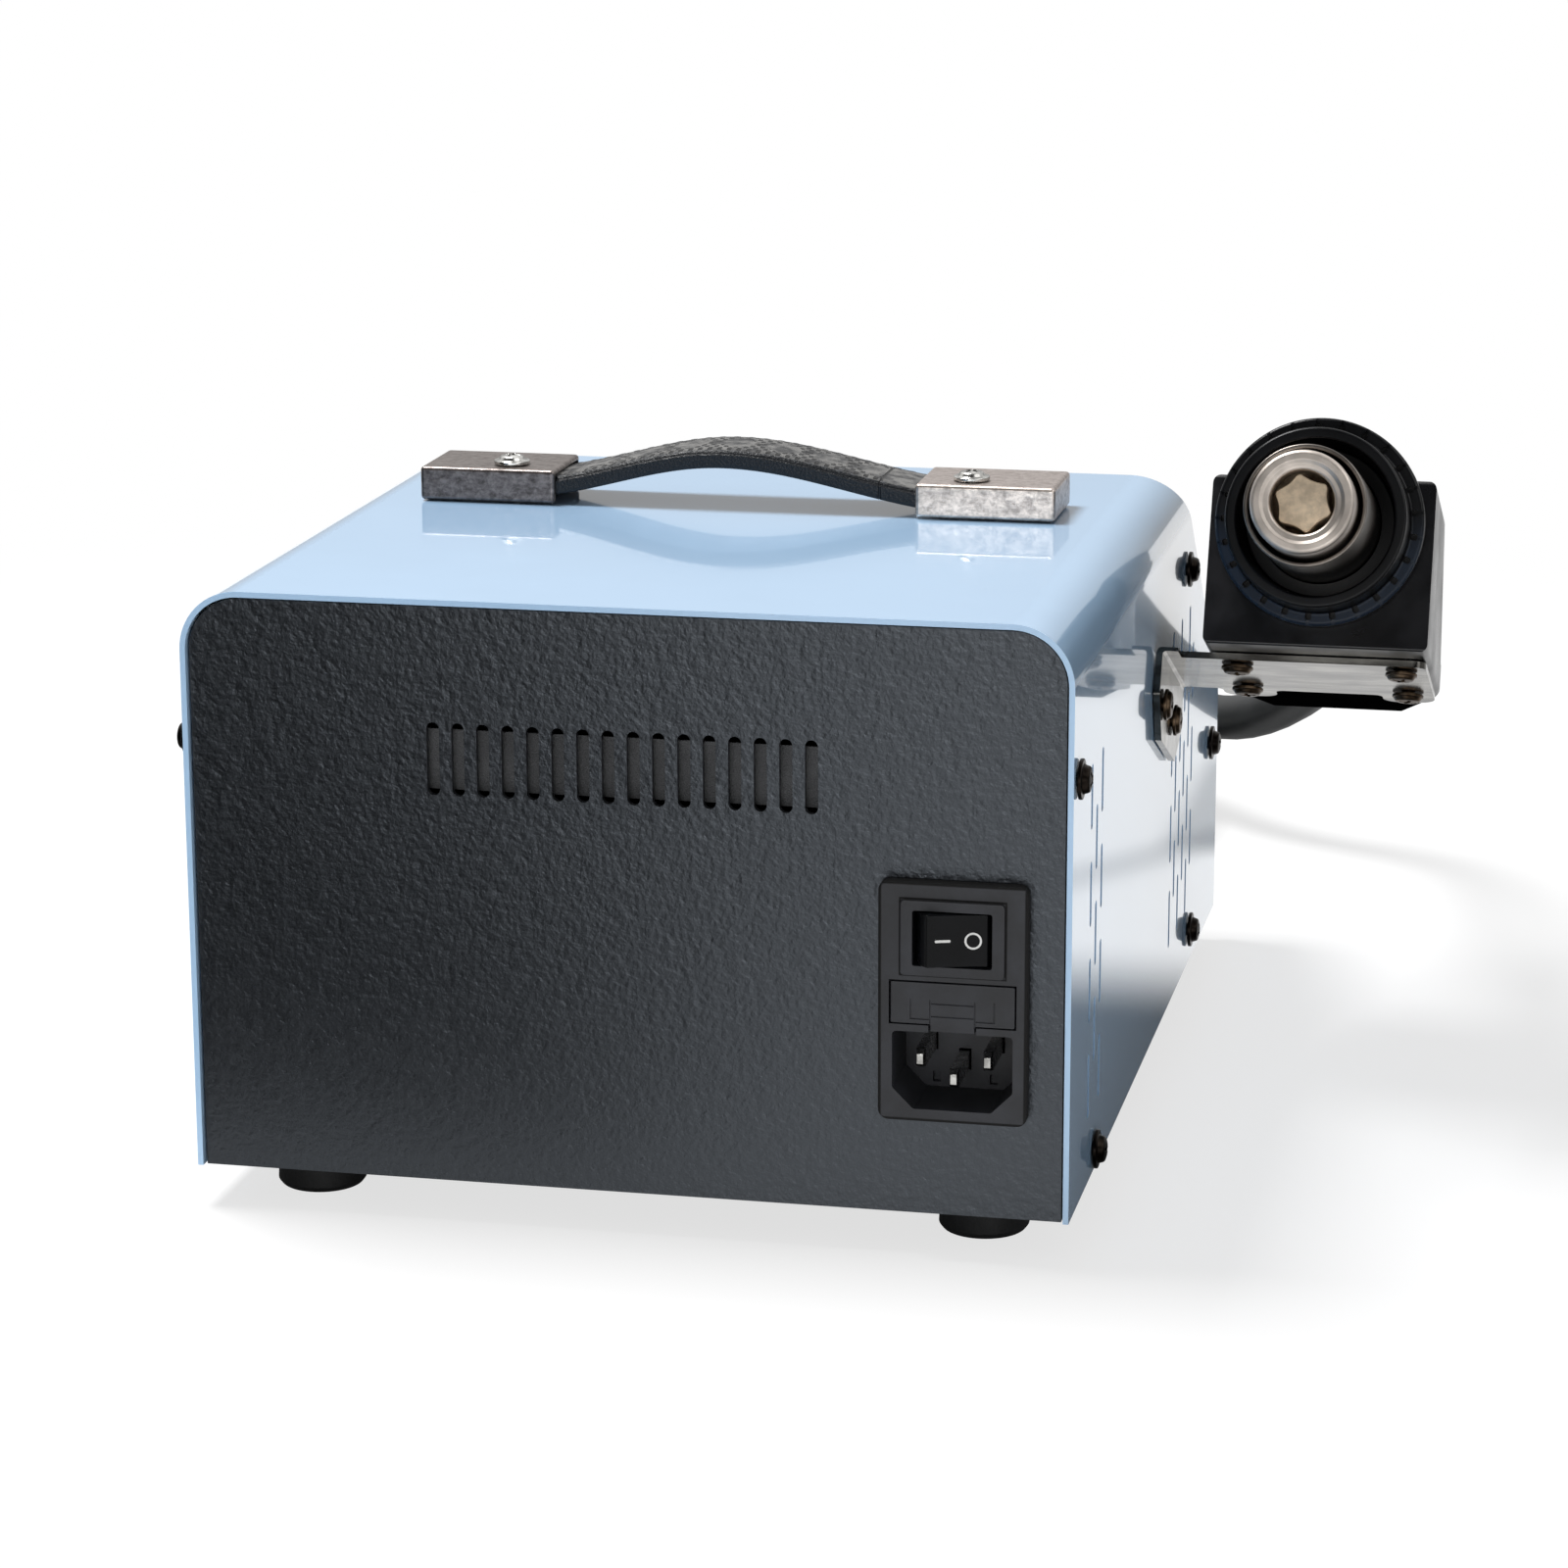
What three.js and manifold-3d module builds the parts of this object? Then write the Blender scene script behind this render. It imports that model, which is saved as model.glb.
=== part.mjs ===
// A bench-top hot air rework station: a folded sheet-steel case with a console front, a mains inlet module
// at the back, a strap handle on top, and a hot air gun lying in a cradle on a bracket at its side.
// Millimetres, +Z up. The display front faces -Y, the mains inlet faces +Y, the gun is on the -X side.
import * as THREE from 'three';
import { mergeVertices } from 'three/addons/utils/BufferGeometryUtils.js';
import Module from 'manifold-3d';

const wasm = await Module();
wasm.setup();

// Clearances
const gap = 0.3;              // between a piece and the piece that carries it
const edgeGap = 0.5;          // shadow gap round a panel that shows from outside

// Case
const caseWidth = 188;
const caseDepth = 249;        // at the feet
const topDepth = 171;         // flat top, from the rear edge to the start of the sloping front
const coverHeight = 125.6;
const frontStep = 58;         // upright part of the front, below the slope
const coverSheet = 1.2;
const coverBend = 12.8;       // outer radius of the cover's two long bends
const panelSheet = 1.5;       // tray, rear panel and front panel
const rearInset = 1.2;        // rear panel lies this far inside the cover's rear edge
const frontInset = 1.0;
const trayFlange = 14;        // height of the tray's side flanges
const rearFlange = 12;        // depth of the rear panel's side flanges
const frontFlange = 22;       // width of the front panel's side flanges

// Feet
const footHeight = 9;
const footRadius = 9.6;
const footInsetX = 21;        // from the case's side to a foot's axis
const footInsetY = 21;        // from the case's rear edge to a rear foot's axis
const footInsetFront = 26;
const footStem = 2.6;
const footShape = { edge: 0.9, draft: 0.4, barb: 1.2, barbHigh: 2.1 };

// Vent slots
const rearSlotCount = 16;
const rearSlotPitch = 5.33;
const rearSlotWidth = 2.7;
const rearSlotHeight = 15.5;
const rearSlotRound = 1.3;    // corner radius
const rearSlotCentre = 91.8;  // above the case's lower edge
const sideSlotWidth = 2.4;
const sideSlotHeight = 14;
const sideSlotPitch = 20.9;
const sideSlotColumn = 7.6;
const sideSlotTop = 84.3;      // centre of the highest slot, above the case's lower edge
const sideSlotRows = 4;
const rearSlotGroup = { start: 26, columns: 3 };    // distance of the first column from the rear edge
const frontSlotGroup = { start: 157, columns: 6 };

// Side screws: distance from the rear edge or from the front, height above the case's lower edge
const rearScrew = [6, 93];
const rearTrayScrew = [35.6, 4.7];
const frontTrayScrew = [54.3, 8.6];
const frontScrew = [17, 47];
const slopeScrew = { inset: 11.8, down: 24 };       // square in from the slope, and below the cover's top
const flangedScrew = { flange: 4.2, flangeThick: 0.8, head: 3.1, headHigh: 1.8, shank: 1.6 };
const capScrew = { flange: 4.1, flangeThick: 0.8, head: 3.1, headHigh: 1.2, shank: 1.6 };
const panScrew = { flange: 3.6, flangeThick: 0.9, head: 3.2, headHigh: 0.9, shank: 1.6 };
const screwSides = 10;
const screwHole = 2.0;
const screwHoleSides = 10;
const sideScrewLength = 6;

// Mains inlet module
const inletX = -69.9;
const inletBottom = 20.9;     // above the case's lower edge
const inletWidth = 31;
const inletHeight = 51;
const inletFlange = 2.9;
const inletCorner = 2.2;
const inletBody = { width: 27.4, height: 46.6, depth: 26 };
const rockerFrame = { width: 21.6, height: 15.9, proud: 1.0, fromTop: 3.7 };
const rockerOpening = { width: 16.5, height: 11.7, depth: 10 };
const rockerPivotDepth = 4;   // behind the raised frame's face
const rockerRadius = 7.9;
const rockerFaceRise = 4.9;   // pivot to face
const rockerHollow = 0.5;     // dip in the middle of the face
const rockerSkirt = -0.3;     // radians, lower end of its round sides
const rockerArcSteps = 4;
const rockerTilt = 14;        // degrees either side of level
const drawerPlate = { width: inletBody.width - 1.6, height: 8.8, thick: 2.4, fromTop: 21.2 };
const drawerTab = { width: 9.3, height: 1.6 };
const drawerBody = { width: inletBody.width - 4.8, height: 7.8, depth: 17 };
const fuseRadius = 2.5;
const fuseLength = 20;
const socket = { width: 25, height: 16.5, depth: 16, chamfer: 4.4, fromTop: 31.8 };
const pin = { wide: 2, tall: 4, recess: 1.6, tail: 6, rowUp: 2, earthDown: 2, spread: 7 };

// Carrying handle
const capLength = 31.6;
const capWidth = 23;
const capHeight = 8;
const capWall = 1.1;
const capReach = 73.2;        // outer end of each cap from the middle
const handleRear = 106.3;     // rear face of the caps, from the case's rear edge
const strapWidth = 20.2;
const strapThick = 4.4;
const strapRise = 7.4;        // crown of the strap above its ends
const strapCrown = 3;         // the crown lies this far towards +x from the middle
const strapEase = 0.5;        // how softly the strap leaves the caps: 0 is a parabola, 1 a cosine
const strapSteps = 20;
const capScrewFromMouth = 11.7;
const capScrewFromRear = 6.9;
const capScrewPast = 4;       // cap screw's length past the cover's sheet

// Gun bracket and cradle: the shelf falls towards the front by shelfTilt
const shelfTilt = 23.7;
const shelfRear = 128.8;      // rear edge of the shelf's underside, from the case's rear edge
const shelfLevel = 91.6;      // the same edge, above the case's lower edge
const bracketSheet = 1.5;
const shelfReach = 60.4;      // out from the case's side
const shelfLength = 35;
const shelfEar = { radius: 6.2, back: 1.5 };
const flangeBack = 7;         // flange behind the shelf's rear edge
const flangeLength = 45;
const flangeDrop = 19;
const flangeCorner = 9;
const bendEdge = 0.6;         // bevel along the outside of the bracket's bend
const flangeScrews = [[1.5, 10.8], [20.5, 10.8]];  // along the bend, below the shelf
const shelfScrewRows = [6.5, 31.8];                // from the shelf's rear edge
const cradleX = -130;
const cradleScrewSpread = 18.6;
const cradleWidth = 50.3;
const cradleOverhang = 9.4;   // behind the shelf's rear edge
const cradleTongue = 63;      // in front of the shelf's rear edge
const cradleTop = 41;
const cradleBase = 9;
const cheekTopFront = 24;
const cheekFoot = 40;
const tongueChamfer = { across: 10, along: 21 };
const shoulder = { bevelDown: 1.8, bevelIn: 1.2, flat: 3.6, foot: 7.2, drop: 2 };

// Gun: its axis lies flatter than the shelf
const gunTilt = 16.3;
const gunAxisRise = 29.9;     // axis above the shelf's underside, at the cradle's rear face
const collarRadius = 23.4;
const collarThick = 4;
const collarNeck = { radius: 20.1, high: 10, bore: 17.6, edge: 0.9, lip: 0.6, taper: 0.8 };
const collarEdge = 0.8;
const collarWeb = 1.2;        // floor of the collar round the tube
const notch = { count: 25, wide: 1.3, long: 2.6, deep: 1.8 };
const barrelRadius = 18;
const barrelLength = 58;
const gripRadius = 15.8;
const handleLength = 114;
const handleShape = { taper: 12, roundStart: 16, roundEnd: 3, roundIn: 1.8, endIn: 3.5 };
const tubeRadius = 13.4;
const tubeWall = 1;
const tubeReach = 35.2;       // steel tube in front of the collar
const tubeRoot = 14;
const nozzleRadius = 11.3;
const nozzleReach = 43;
const nozzleMouth = 7.6;
const nozzleBack = 8;
const nozzleWall = 2;
const nozzleStep = { seat: 4, slope: 0.8, mouthDeep: 6.5, boreDeep: 8 };
const nozzleLip = { start: 2.4, shoulderIn: 0.7, crownIn: 2.1, innerDown: 0.4, mouthDown: 1.8 };
const coreRadius = 6.7;
const coreRecess = 2.8;
const coreWaist = 0.8;        // of its radius
const corePoints = 6;
const coreFoot = { back: 6, deep: 16 };             // from the nozzle's rear end, and behind its mouth
const bootLength = 21.7;
const bootRadius = 11;
const bootShape = { collar: 4, taperIn: 2, edge: 3, endIn: 2.6 };

// Hose
const hoseDiameter = 12.5;
const hoseSides = 10;
const glandX = 57.5;
const glandHeight = 20;
const glandReach = 18;
const glandNut = { radius: 10.4, thick: 7 };
const glandBody = 8.2;
const glandBore = 4;
const glandTaper = 0.6;
const coilRadius = 62.5;
const coilTurnsWhole = 2;
const coilEntryAngle = 225;   // degrees, where the hose from the gun joins the top turn
const coilPitch = 13.1;
const coilSteps = 24;
const coilSides = 6;
const coilRun = 85;           // from the gland's face to the coil's lower end
const coilLift = 0.1;
const gunRunPull = [54, 114];                       // guide points straight behind the gun
const gunRunGuide = { out: 98, back: 44.3, high: 16.5 };   // guide point beside the coil, from its centre
const gunRunArrival = 16;
const gunRunSteps = 24;

// Front panel fittings, in the slope's own frame: x across, y up the slope, z out of it
const windowWidth = 96;
const windowHeight = 36;
const windowUp = 68;
const windowThick = 2.4;
const windowLip = 3;
const buttonRadius = 5;
const buttonProud = 2.4;
const buttonTravel = 0.8;
const buttonPitch = 27;
const buttonCount = 5;
const buttonUp = 25;
const buttonFlange = 1.3;
const buttonShape = { flangeThick: 1.2, edge: 0.7, plunger: 2 };
const boardDepth = 11;        // board's face behind the slope
const boardMargin = 22;       // board beyond the outer buttons
const boardSize = { width: (buttonCount - 1) * buttonPitch + 2 * boardMargin, height: 78, thick: 1.6 };
const bossRadius = 3.2;
const bossInset = 5;
const switchHeight = 4;
const switchWidth = 6;
const digitBlock = { across: 23, width: 38, height: 22 };
const boardShift = 2;         // board's middle above the middle between buttons and window
const rooted = 0.5;           // depth by which joined pieces run into each other

// Inside
const transformer = {
  width: 62, depth: 50, height: 56, x: 42, y: -80, stack: 26, coil: 9, footOut: 8, footThick: 2,
};
const blower = { x: -18, y: -150, radius: 42, height: 34, wall: 2.5, inlet: 22, outlet: 18, spout: 12 };
const impeller = {
  radius: 34, height: 20, disc: 1.6, blades: 11, bladeLong: 13, bladeThick: 1.6, bladeInset: 1,
  shaft: 3, hub: 8, hubDown: 6, running: 1.2,
};
const ductRadius = 7;
const ductBore = 5.4;
const ductStraight = 8;        // at either end
const glandInside = 12;        // gland's length behind the front
const ductSides = 10;

// Derived places
const zBase = footHeight;
const zTop = zBase + coverHeight;
const zStep = zBase + frontStep;
const xSide = caseWidth / 2;
const yFront = -caseDepth;
const yTopFront = -topDepth;
const xInner = xSide - coverSheet - gap;
const slopeAngle = Math.atan2(coverHeight - frontStep, caseDepth - topDepth);
const radians = Math.PI / 180;
const over = 1;               // how far a cutter runs past what it cuts

// Geometry helpers
function solid(geometry) {
  const bare = geometry.clone();
  bare.deleteAttribute('normal');
  bare.deleteAttribute('uv');
  const merged = mergeVertices(bare, 1e-4);
  const at = merged.attributes.position.array;
  const index = merged.index.array;
  const corners = [];
  for (let i = 0; i < index.length; i += 3) {
    const [a, b, c] = [index[i], index[i + 1], index[i + 2]];
    if (a !== b && b !== c && c !== a) corners.push(a, b, c);
  }
  let volume = 0;
  const p = (i) => new THREE.Vector3(at[3 * i], at[3 * i + 1], at[3 * i + 2]);
  for (let i = 0; i < corners.length; i += 3) {
    volume += p(corners[i]).dot(p(corners[i + 1]).cross(p(corners[i + 2])));
  }
  if (volume < 0) corners.reverse();
  return new wasm.Manifold(new wasm.Mesh({
    numProp: 3,
    vertProperties: new Float32Array(at),
    triVerts: new Uint32Array(corners),
  }));
}

function geometryOf(manifold) {
  const mesh = manifold.getMesh();
  const geometry = new THREE.BufferGeometry();
  geometry.setAttribute('position', new THREE.BufferAttribute(mesh.vertProperties, 3));
  geometry.setIndex(new THREE.BufferAttribute(mesh.triVerts, 1));
  geometry.computeVertexNormals();
  return geometry;
}

const join = (first, ...rest) => rest.reduce((whole, piece) => whole.add(piece), first);
const cut = (first, ...rest) => rest.reduce((whole, piece) => whole.subtract(piece), first);

function box(x0, x1, y0, y1, z0, z1) {
  const geometry = new THREE.BoxGeometry(x1 - x0, y1 - y0, z1 - z0);
  geometry.translate((x0 + x1) / 2, (y0 + y1) / 2, (z0 + z1) / 2);
  return solid(geometry);
}

function extruded(shape, depth, matrix, segments = 6) {
  const geometry = new THREE.ExtrudeGeometry(shape, { depth, bevelEnabled: false, curveSegments: segments });
  if (matrix) geometry.applyMatrix4(matrix);
  return solid(geometry);
}

const polygon = (points) => new THREE.Shape(points.map(([u, v]) => new THREE.Vector2(u, v)));

// A shape drawn in (y, z), extruded along x from x0 to x1
function alongX(shape, x0, x1) {
  const matrix = new THREE.Matrix4().makeBasis(
    new THREE.Vector3(0, 1, 0), new THREE.Vector3(0, 0, 1), new THREE.Vector3(1, 0, 0));
  matrix.setPosition(x0, 0, 0);
  return extruded(shape, x1 - x0, matrix);
}

// A shape drawn in (x, z), extruded along y from y1 back to y0
function alongY(shape, y0, y1, segments = 6) {
  const matrix = new THREE.Matrix4().makeBasis(
    new THREE.Vector3(1, 0, 0), new THREE.Vector3(0, 0, 1), new THREE.Vector3(0, -1, 0));
  matrix.setPosition(0, y1, 0);
  return extruded(shape, y1 - y0, matrix, segments);
}

// A shape drawn in (x, y), extruded along z from z0 to z1
function alongZ(shape, z0, z1) {
  return extruded(shape, z1 - z0, new THREE.Matrix4().makeTranslation(0, 0, z0));
}

function cylinder(axis, radius, from, to, u, v, sides = 12) {
  const geometry = new THREE.CylinderGeometry(radius, radius, to - from, sides);
  geometry.translate(0, (from + to) / 2, 0);
  if (axis === 'x') geometry.rotateZ(-Math.PI / 2).translate(0, u, v);
  if (axis === 'y') geometry.translate(u, 0, v);
  if (axis === 'z') geometry.rotateX(Math.PI / 2).translate(u, v, 0);
  return solid(geometry);
}

// A profile of (radius, height) pairs turned about z. It starts and ends on the axis or closes on itself.
function turned(profile, sides, x = 0, y = 0) {
  const points = profile.map(([r, h]) => new THREE.Vector2(r, h));
  const geometry = new THREE.LatheGeometry(points, sides);
  geometry.rotateX(Math.PI / 2);
  geometry.translate(x, y, 0);
  return solid(geometry);
}

const ring = (profile) => [...profile, profile[0]];

function roundedBox(width, height, radius, u = 0, v = 0) {
  const [w, h] = [width / 2, height / 2];
  const shape = new THREE.Shape();
  shape.absarc(u + w - radius, v + h - radius, radius, 0, Math.PI / 2);
  shape.absarc(u - w + radius, v + h - radius, radius, Math.PI / 2, Math.PI);
  shape.absarc(u - w + radius, v - h + radius, radius, Math.PI, 1.5 * Math.PI);
  shape.absarc(u + w - radius, v - h + radius, radius, 1.5 * Math.PI, 2 * Math.PI);
  return shape;
}

// Outline of the case across its width: straight sides and two round upper corners
function archShape(half, bottom, top, radius) {
  const shape = new THREE.Shape();
  shape.moveTo(-half, bottom);
  shape.lineTo(half, bottom);
  shape.lineTo(half, top - radius);
  shape.absarc(half - radius, top - radius, radius, 0, Math.PI / 2);
  shape.lineTo(-half + radius, top);
  shape.absarc(-half + radius, top - radius, radius, Math.PI / 2, Math.PI);
  return shape;
}

const innerArch = alongY(
  archShape(xInner, zBase - over, zTop - coverSheet - gap, coverBend - coverSheet - gap),
  yFront - over, over);

// The front outline moved inwards by d: its corner, and its point at height z on the slope
function frontCorner(d) {
  return [yFront + d, zStep - d * (1 - Math.sin(slopeAngle)) / Math.cos(slopeAngle)];
}

function frontAt(d, z) {
  const along = (z - zStep + d * Math.cos(slopeAngle)) / Math.sin(slopeAngle);
  return [yFront + d * Math.sin(slopeAngle) + along * Math.cos(slopeAngle), z];
}

const sideScrewPlaces = [
  rearScrew,
  rearTrayScrew,
  [caseDepth - frontTrayScrew[0], frontTrayScrew[1]],
  [caseDepth - frontScrew[0], frontScrew[1]],
  [-frontAt(slopeScrew.inset, zTop - slopeScrew.down)[0], coverHeight - slopeScrew.down],
];

// Frames of the tilted groups
const slopeFrame = new THREE.Matrix4().makeRotationX(slopeAngle).setPosition(0, yFront, zStep);
const shelfFrame = new THREE.Matrix4().makeRotationX(shelfTilt * radians)
  .setPosition(0, -shelfRear, zBase + shelfLevel);
const lean = (shelfTilt - gunTilt) * radians;
const collarStandoff = collarThick + (gap + collarRadius * Math.sin(lean)) / Math.cos(lean);
const gunFrame = new THREE.Matrix4().makeRotationX((gunTilt - 90) * radians)
  .setPosition(new THREE.Vector3(
    cradleX,
    cradleOverhang + collarStandoff * Math.cos(lean),
    gunAxisRise - collarStandoff * Math.sin(lean)).applyMatrix4(shelfFrame));

// Materials
function finish(color, roughness, metalness) {
  return new THREE.MeshStandardMaterial({ color, roughness, metalness, flatShading: true });
}
const paint = {
  blue: () => finish(0xa4cdf2, 0.25, 0.1),
  black: () => finish(0x26282c, 0.6, 0.2),
  plastic: () => finish(0x141517, 0.45, 0),
  rubber: () => finish(0x18191b, 0.85, 0),
  steel: () => finish(0xc4c3bf, 0.25, 1),
  darkSteel: () => finish(0x2a2622, 0.4, 0.8),
  brass: () => finish(0xc9c2a8, 0.3, 1),
  ceramic: () => finish(0xc9b98f, 0.8, 0),
  smoked: () => finish(0x1a0d0e, 0.1, 0),
  board: () => finish(0x1f5a34, 0.5, 0),
  copper: () => finish(0x9a5a32, 0.5, 0.6),
  glass: () => finish(0xcfd6d8, 0.1, 0),
};

const station = new THREE.Group();      // everything at rest on the bench
const carried = new THREE.Group();      // the station itself, without the loose hose
const looseHose = new THREE.Group();
station.add(carried, looseHose);

function place(name, manifold, material, parent = carried) {
  const mesh = new THREE.Mesh(geometryOf(manifold), material);
  mesh.name = name;
  parent.add(mesh);
  return mesh;
}

function framed(matrix, parent = carried) {
  const group = new THREE.Group();
  group.applyMatrix4(matrix);
  parent.add(group);
  return group;
}

function sideHoles(radius, places) {
  return places.map(([back, up]) => (
    cylinder('x', radius, -xSide - over, xSide + over, -back, zBase + up, screwHoleSides)));
}

// Cover
function consoleOutline() {
  return polygon([[0, zBase], [yFront, zBase], [yFront, zStep], [yTopFront, zTop], [0, zTop]]);
}

function sideSlots({ start, columns }) {
  const cutters = [];
  for (let column = 0; column < columns; column += 1) {
    const staggered = column % 2 === 1;
    const rows = staggered ? sideSlotRows - 1 : sideSlotRows;
    for (let row = 0; row < rows; row += 1) {
      const y = -(start + column * sideSlotColumn);
      const z = zBase + sideSlotTop - (row + (staggered ? 0.5 : 0)) * sideSlotPitch;
      cutters.push(box(-xSide - over, xSide + over, y - sideSlotWidth / 2, y + sideSlotWidth / 2,
        z - sideSlotHeight / 2, z + sideSlotHeight / 2));
    }
  }
  return cutters;
}

const flangeHolePlaces = flangeScrews.map(([along, down]) => new THREE.Vector3(0, -along, -down)
  .applyMatrix4(shelfFrame));
const capScrewX = capReach - capLength + capScrewFromMouth;
const capScrewY = -(handleRear + capScrewFromRear);
const capMiddleY = -(handleRear + capWidth / 2);

function capHoles(low, high) {
  return [-1, 1].map((side) => (
    cylinder('z', screwHole, low, high, side * capScrewX, capScrewY, screwHoleSides)));
}

function topCover() {
  const shell = cut(
    alongY(archShape(xSide, zBase, zTop, coverBend), yFront, 0),
    alongY(archShape(xSide - coverSheet, zBase - over, zTop - coverSheet, coverBend - coverSheet),
      yFront - over, over));
  return cut(
    shell.intersect(alongX(consoleOutline(), -xSide - over, xSide + over)),
    ...sideSlots(rearSlotGroup),
    ...sideSlots(frontSlotGroup),
    ...sideHoles(screwHole, sideScrewPlaces),
    ...flangeHolePlaces.map((at) => (
      cylinder('x', screwHole, -xSide - over, -xInner, at.y, at.z, screwHoleSides))),
    ...capHoles(zTop - 2 * coverSheet, zTop + over));
}
place('top_cover', topCover(), paint.blue());

// Tray with its side flanges
const trayRear = -(rearInset + panelSheet + gap);
const trayFront = yFront + frontInset + panelSheet + gap;
const footPlaces = [-1, 1].flatMap((side) => [-footInsetY, yFront + footInsetFront]
  .map((y) => [side * (xSide - footInsetX), y]));

function baseTray() {
  const flange = (side) => box(...(side > 0 ? [xInner - panelSheet, xInner] : [-xInner, panelSheet - xInner]),
    trayFront, trayRear, zBase, zBase + trayFlange);
  return cut(
    join(box(-xInner, xInner, trayFront, trayRear, zBase, zBase + panelSheet), flange(1), flange(-1)),
    ...sideHoles(screwHole, sideScrewPlaces),
    ...footPlaces.map(([x, y]) => (
      cylinder('z', footStem + gap, zBase - over, zBase + panelSheet + over, x, y, screwHoleSides))));
}
place('base_tray', baseTray(), paint.black());

// Rear panel with vents, the inlet cut-out and side flanges
const inletTop = zBase + inletBottom + inletHeight;
const inletMiddle = inletTop - inletHeight / 2;

function rearPanel() {
  const plate = alongY(archShape(xSide - coverSheet - edgeGap, zBase, zTop - coverSheet - edgeGap,
    coverBend - coverSheet - edgeGap), -rearInset - panelSheet, -rearInset);
  const flange = (side) => box(...(side > 0 ? [xInner - panelSheet, xInner] : [-xInner, panelSheet - xInner]),
    -rearInset - rearFlange, -rearInset - panelSheet / 2, zBase + trayFlange + gap, zTop - coverBend);
  const slots = Array.from({ length: rearSlotCount }, (_, i) => {
    const x = (i - (rearSlotCount - 1) / 2) * rearSlotPitch;
    const shape = roundedBox(rearSlotWidth, rearSlotHeight, rearSlotRound, x, zBase + rearSlotCentre);
    return alongY(shape, -rearInset - panelSheet - over, over, 2);
  });
  const window = box(inletX - inletBody.width / 2 - gap, inletX + inletBody.width / 2 + gap,
    -rearInset - panelSheet - over, over,
    inletMiddle - inletBody.height / 2 - gap, inletMiddle + inletBody.height / 2 + gap);
  return cut(join(plate, flange(1), flange(-1)), ...slots, window, ...sideHoles(screwHole, sideScrewPlaces));
}
place('rear_panel', rearPanel(), paint.black());

// Front panel: upright sheet, sloping sheet, side flanges and four bosses for the board
const slopeFace = -frontInset;                    // heights above the slope's frame
const slopeBack = slopeFace - panelSheet;
const boardFace = -boardDepth;
const buttonPlaces = Array.from({ length: buttonCount },
  (_, i) => [(i - (buttonCount - 1) / 2) * buttonPitch, buttonUp]);
const boardMiddle = (buttonUp + windowUp) / 2 + boardShift;
const bossPlaces = [-1, 1].flatMap((u) => [-1, 1].map((v) => [
  u * (boardSize.width / 2 - bossInset), boardMiddle + v * (boardSize.height / 2 - bossInset)]));
const inFrame = (manifold, matrix) => solid(geometryOf(manifold).applyMatrix4(matrix));

function frontPanel() {
  const topEnd = zTop - coverSheet - gap;
  const deep = frontInset + panelSheet;
  const sheet = alongX(polygon([
    [yFront + frontInset, zBase], frontCorner(frontInset), frontAt(frontInset, topEnd),
    frontAt(deep, topEnd), frontCorner(deep), [yFront + deep, zBase]]), -xInner, xInner);
  const inSheet = frontInset + panelSheet / 2;
  const flangeOutline = polygon([
    [yFront + inSheet, zBase + trayFlange + gap], frontCorner(inSheet), frontAt(inSheet, topEnd),
    frontAt(frontFlange, topEnd), frontCorner(frontFlange),
    [yFront + frontFlange, zBase + trayFlange + gap]]);
  const flanges = [[xInner - panelSheet, xInner], [-xInner, panelSheet - xInner]]
    .map(([x0, x1]) => alongX(flangeOutline, x0, x1));
  const boss = ([u, v]) => inFrame(
    cylinder('z', bossRadius, boardFace + gap, slopeBack + panelSheet / 2, u, v, 8), slopeFrame);
  const windowHole = inFrame(box(-windowWidth / 2, windowWidth / 2, windowUp - windowHeight / 2,
    windowUp + windowHeight / 2, slopeBack - over, over), slopeFrame);
  const buttonHole = ([u, v]) => inFrame(cylinder('z', buttonRadius + gap, slopeBack - over, over, u, v, 16),
    slopeFrame);
  const glandHole = cylinder(
    'y', glandBody + gap, yFront - over, yFront + frontFlange, glandX, glandHeight, 16);
  return cut(
    join(sheet, ...flanges).intersect(innerArch).add(bossPlaces.map(boss).reduce((a, b) => a.add(b))),
    windowHole, ...buttonPlaces.map(buttonHole), glandHole, ...sideHoles(screwHole, sideScrewPlaces));
}
place('front_panel', frontPanel(), paint.black());

// Rubber feet, each pushed through the tray by its stem
const barbLow = zBase + panelSheet + gap;
const footProfile = [
  [0, 0], [footRadius - footShape.edge, 0], [footRadius, footShape.edge],
  [footRadius - footShape.draft, footHeight - gap], [footStem, footHeight - gap],
  [footStem, barbLow], [footStem + footShape.barb, barbLow],
  [footStem - footShape.draft, barbLow + footShape.barbHigh], [0, barbLow + footShape.barbHigh]];
['rear_left', 'front_left', 'rear_right', 'front_right'].forEach((name, i) => {
  place(`foot_${name}`, turned(footProfile, 16, ...footPlaces[i]), paint.rubber());
});

// Screws: a flanged round head on a plain shank, pointing along -z before it is turned into place
function screwSolid({ flange, flangeThick, head, headHigh, shank }, length) {
  return turned([
    [0, -length], [shank, -length], [shank, 0], [flange, 0], [flange, flangeThick],
    [head, flangeThick], [head * 0.7, flangeThick + headHigh], [0, flangeThick + headHigh]], screwSides);
}

function placeScrew(name, kind, length, at, direction, material, parent = carried) {
  const mesh = place(name, screwSolid(kind, length), material, parent);
  mesh.position.copy(at);
  mesh.quaternion.setFromUnitVectors(new THREE.Vector3(0, 0, 1), direction);
}

for (const [side, word] of [[-1, 'left'], [1, 'right']]) {
  sideScrewPlaces.forEach(([back, up], i) => {
    placeScrew(`side_screw_${word}_${i + 1}`, flangedScrew, sideScrewLength,
      new THREE.Vector3(side * (xSide + gap), -back, zBase + up), new THREE.Vector3(side, 0, 0),
      paint.darkSteel());
  });
}

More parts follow.
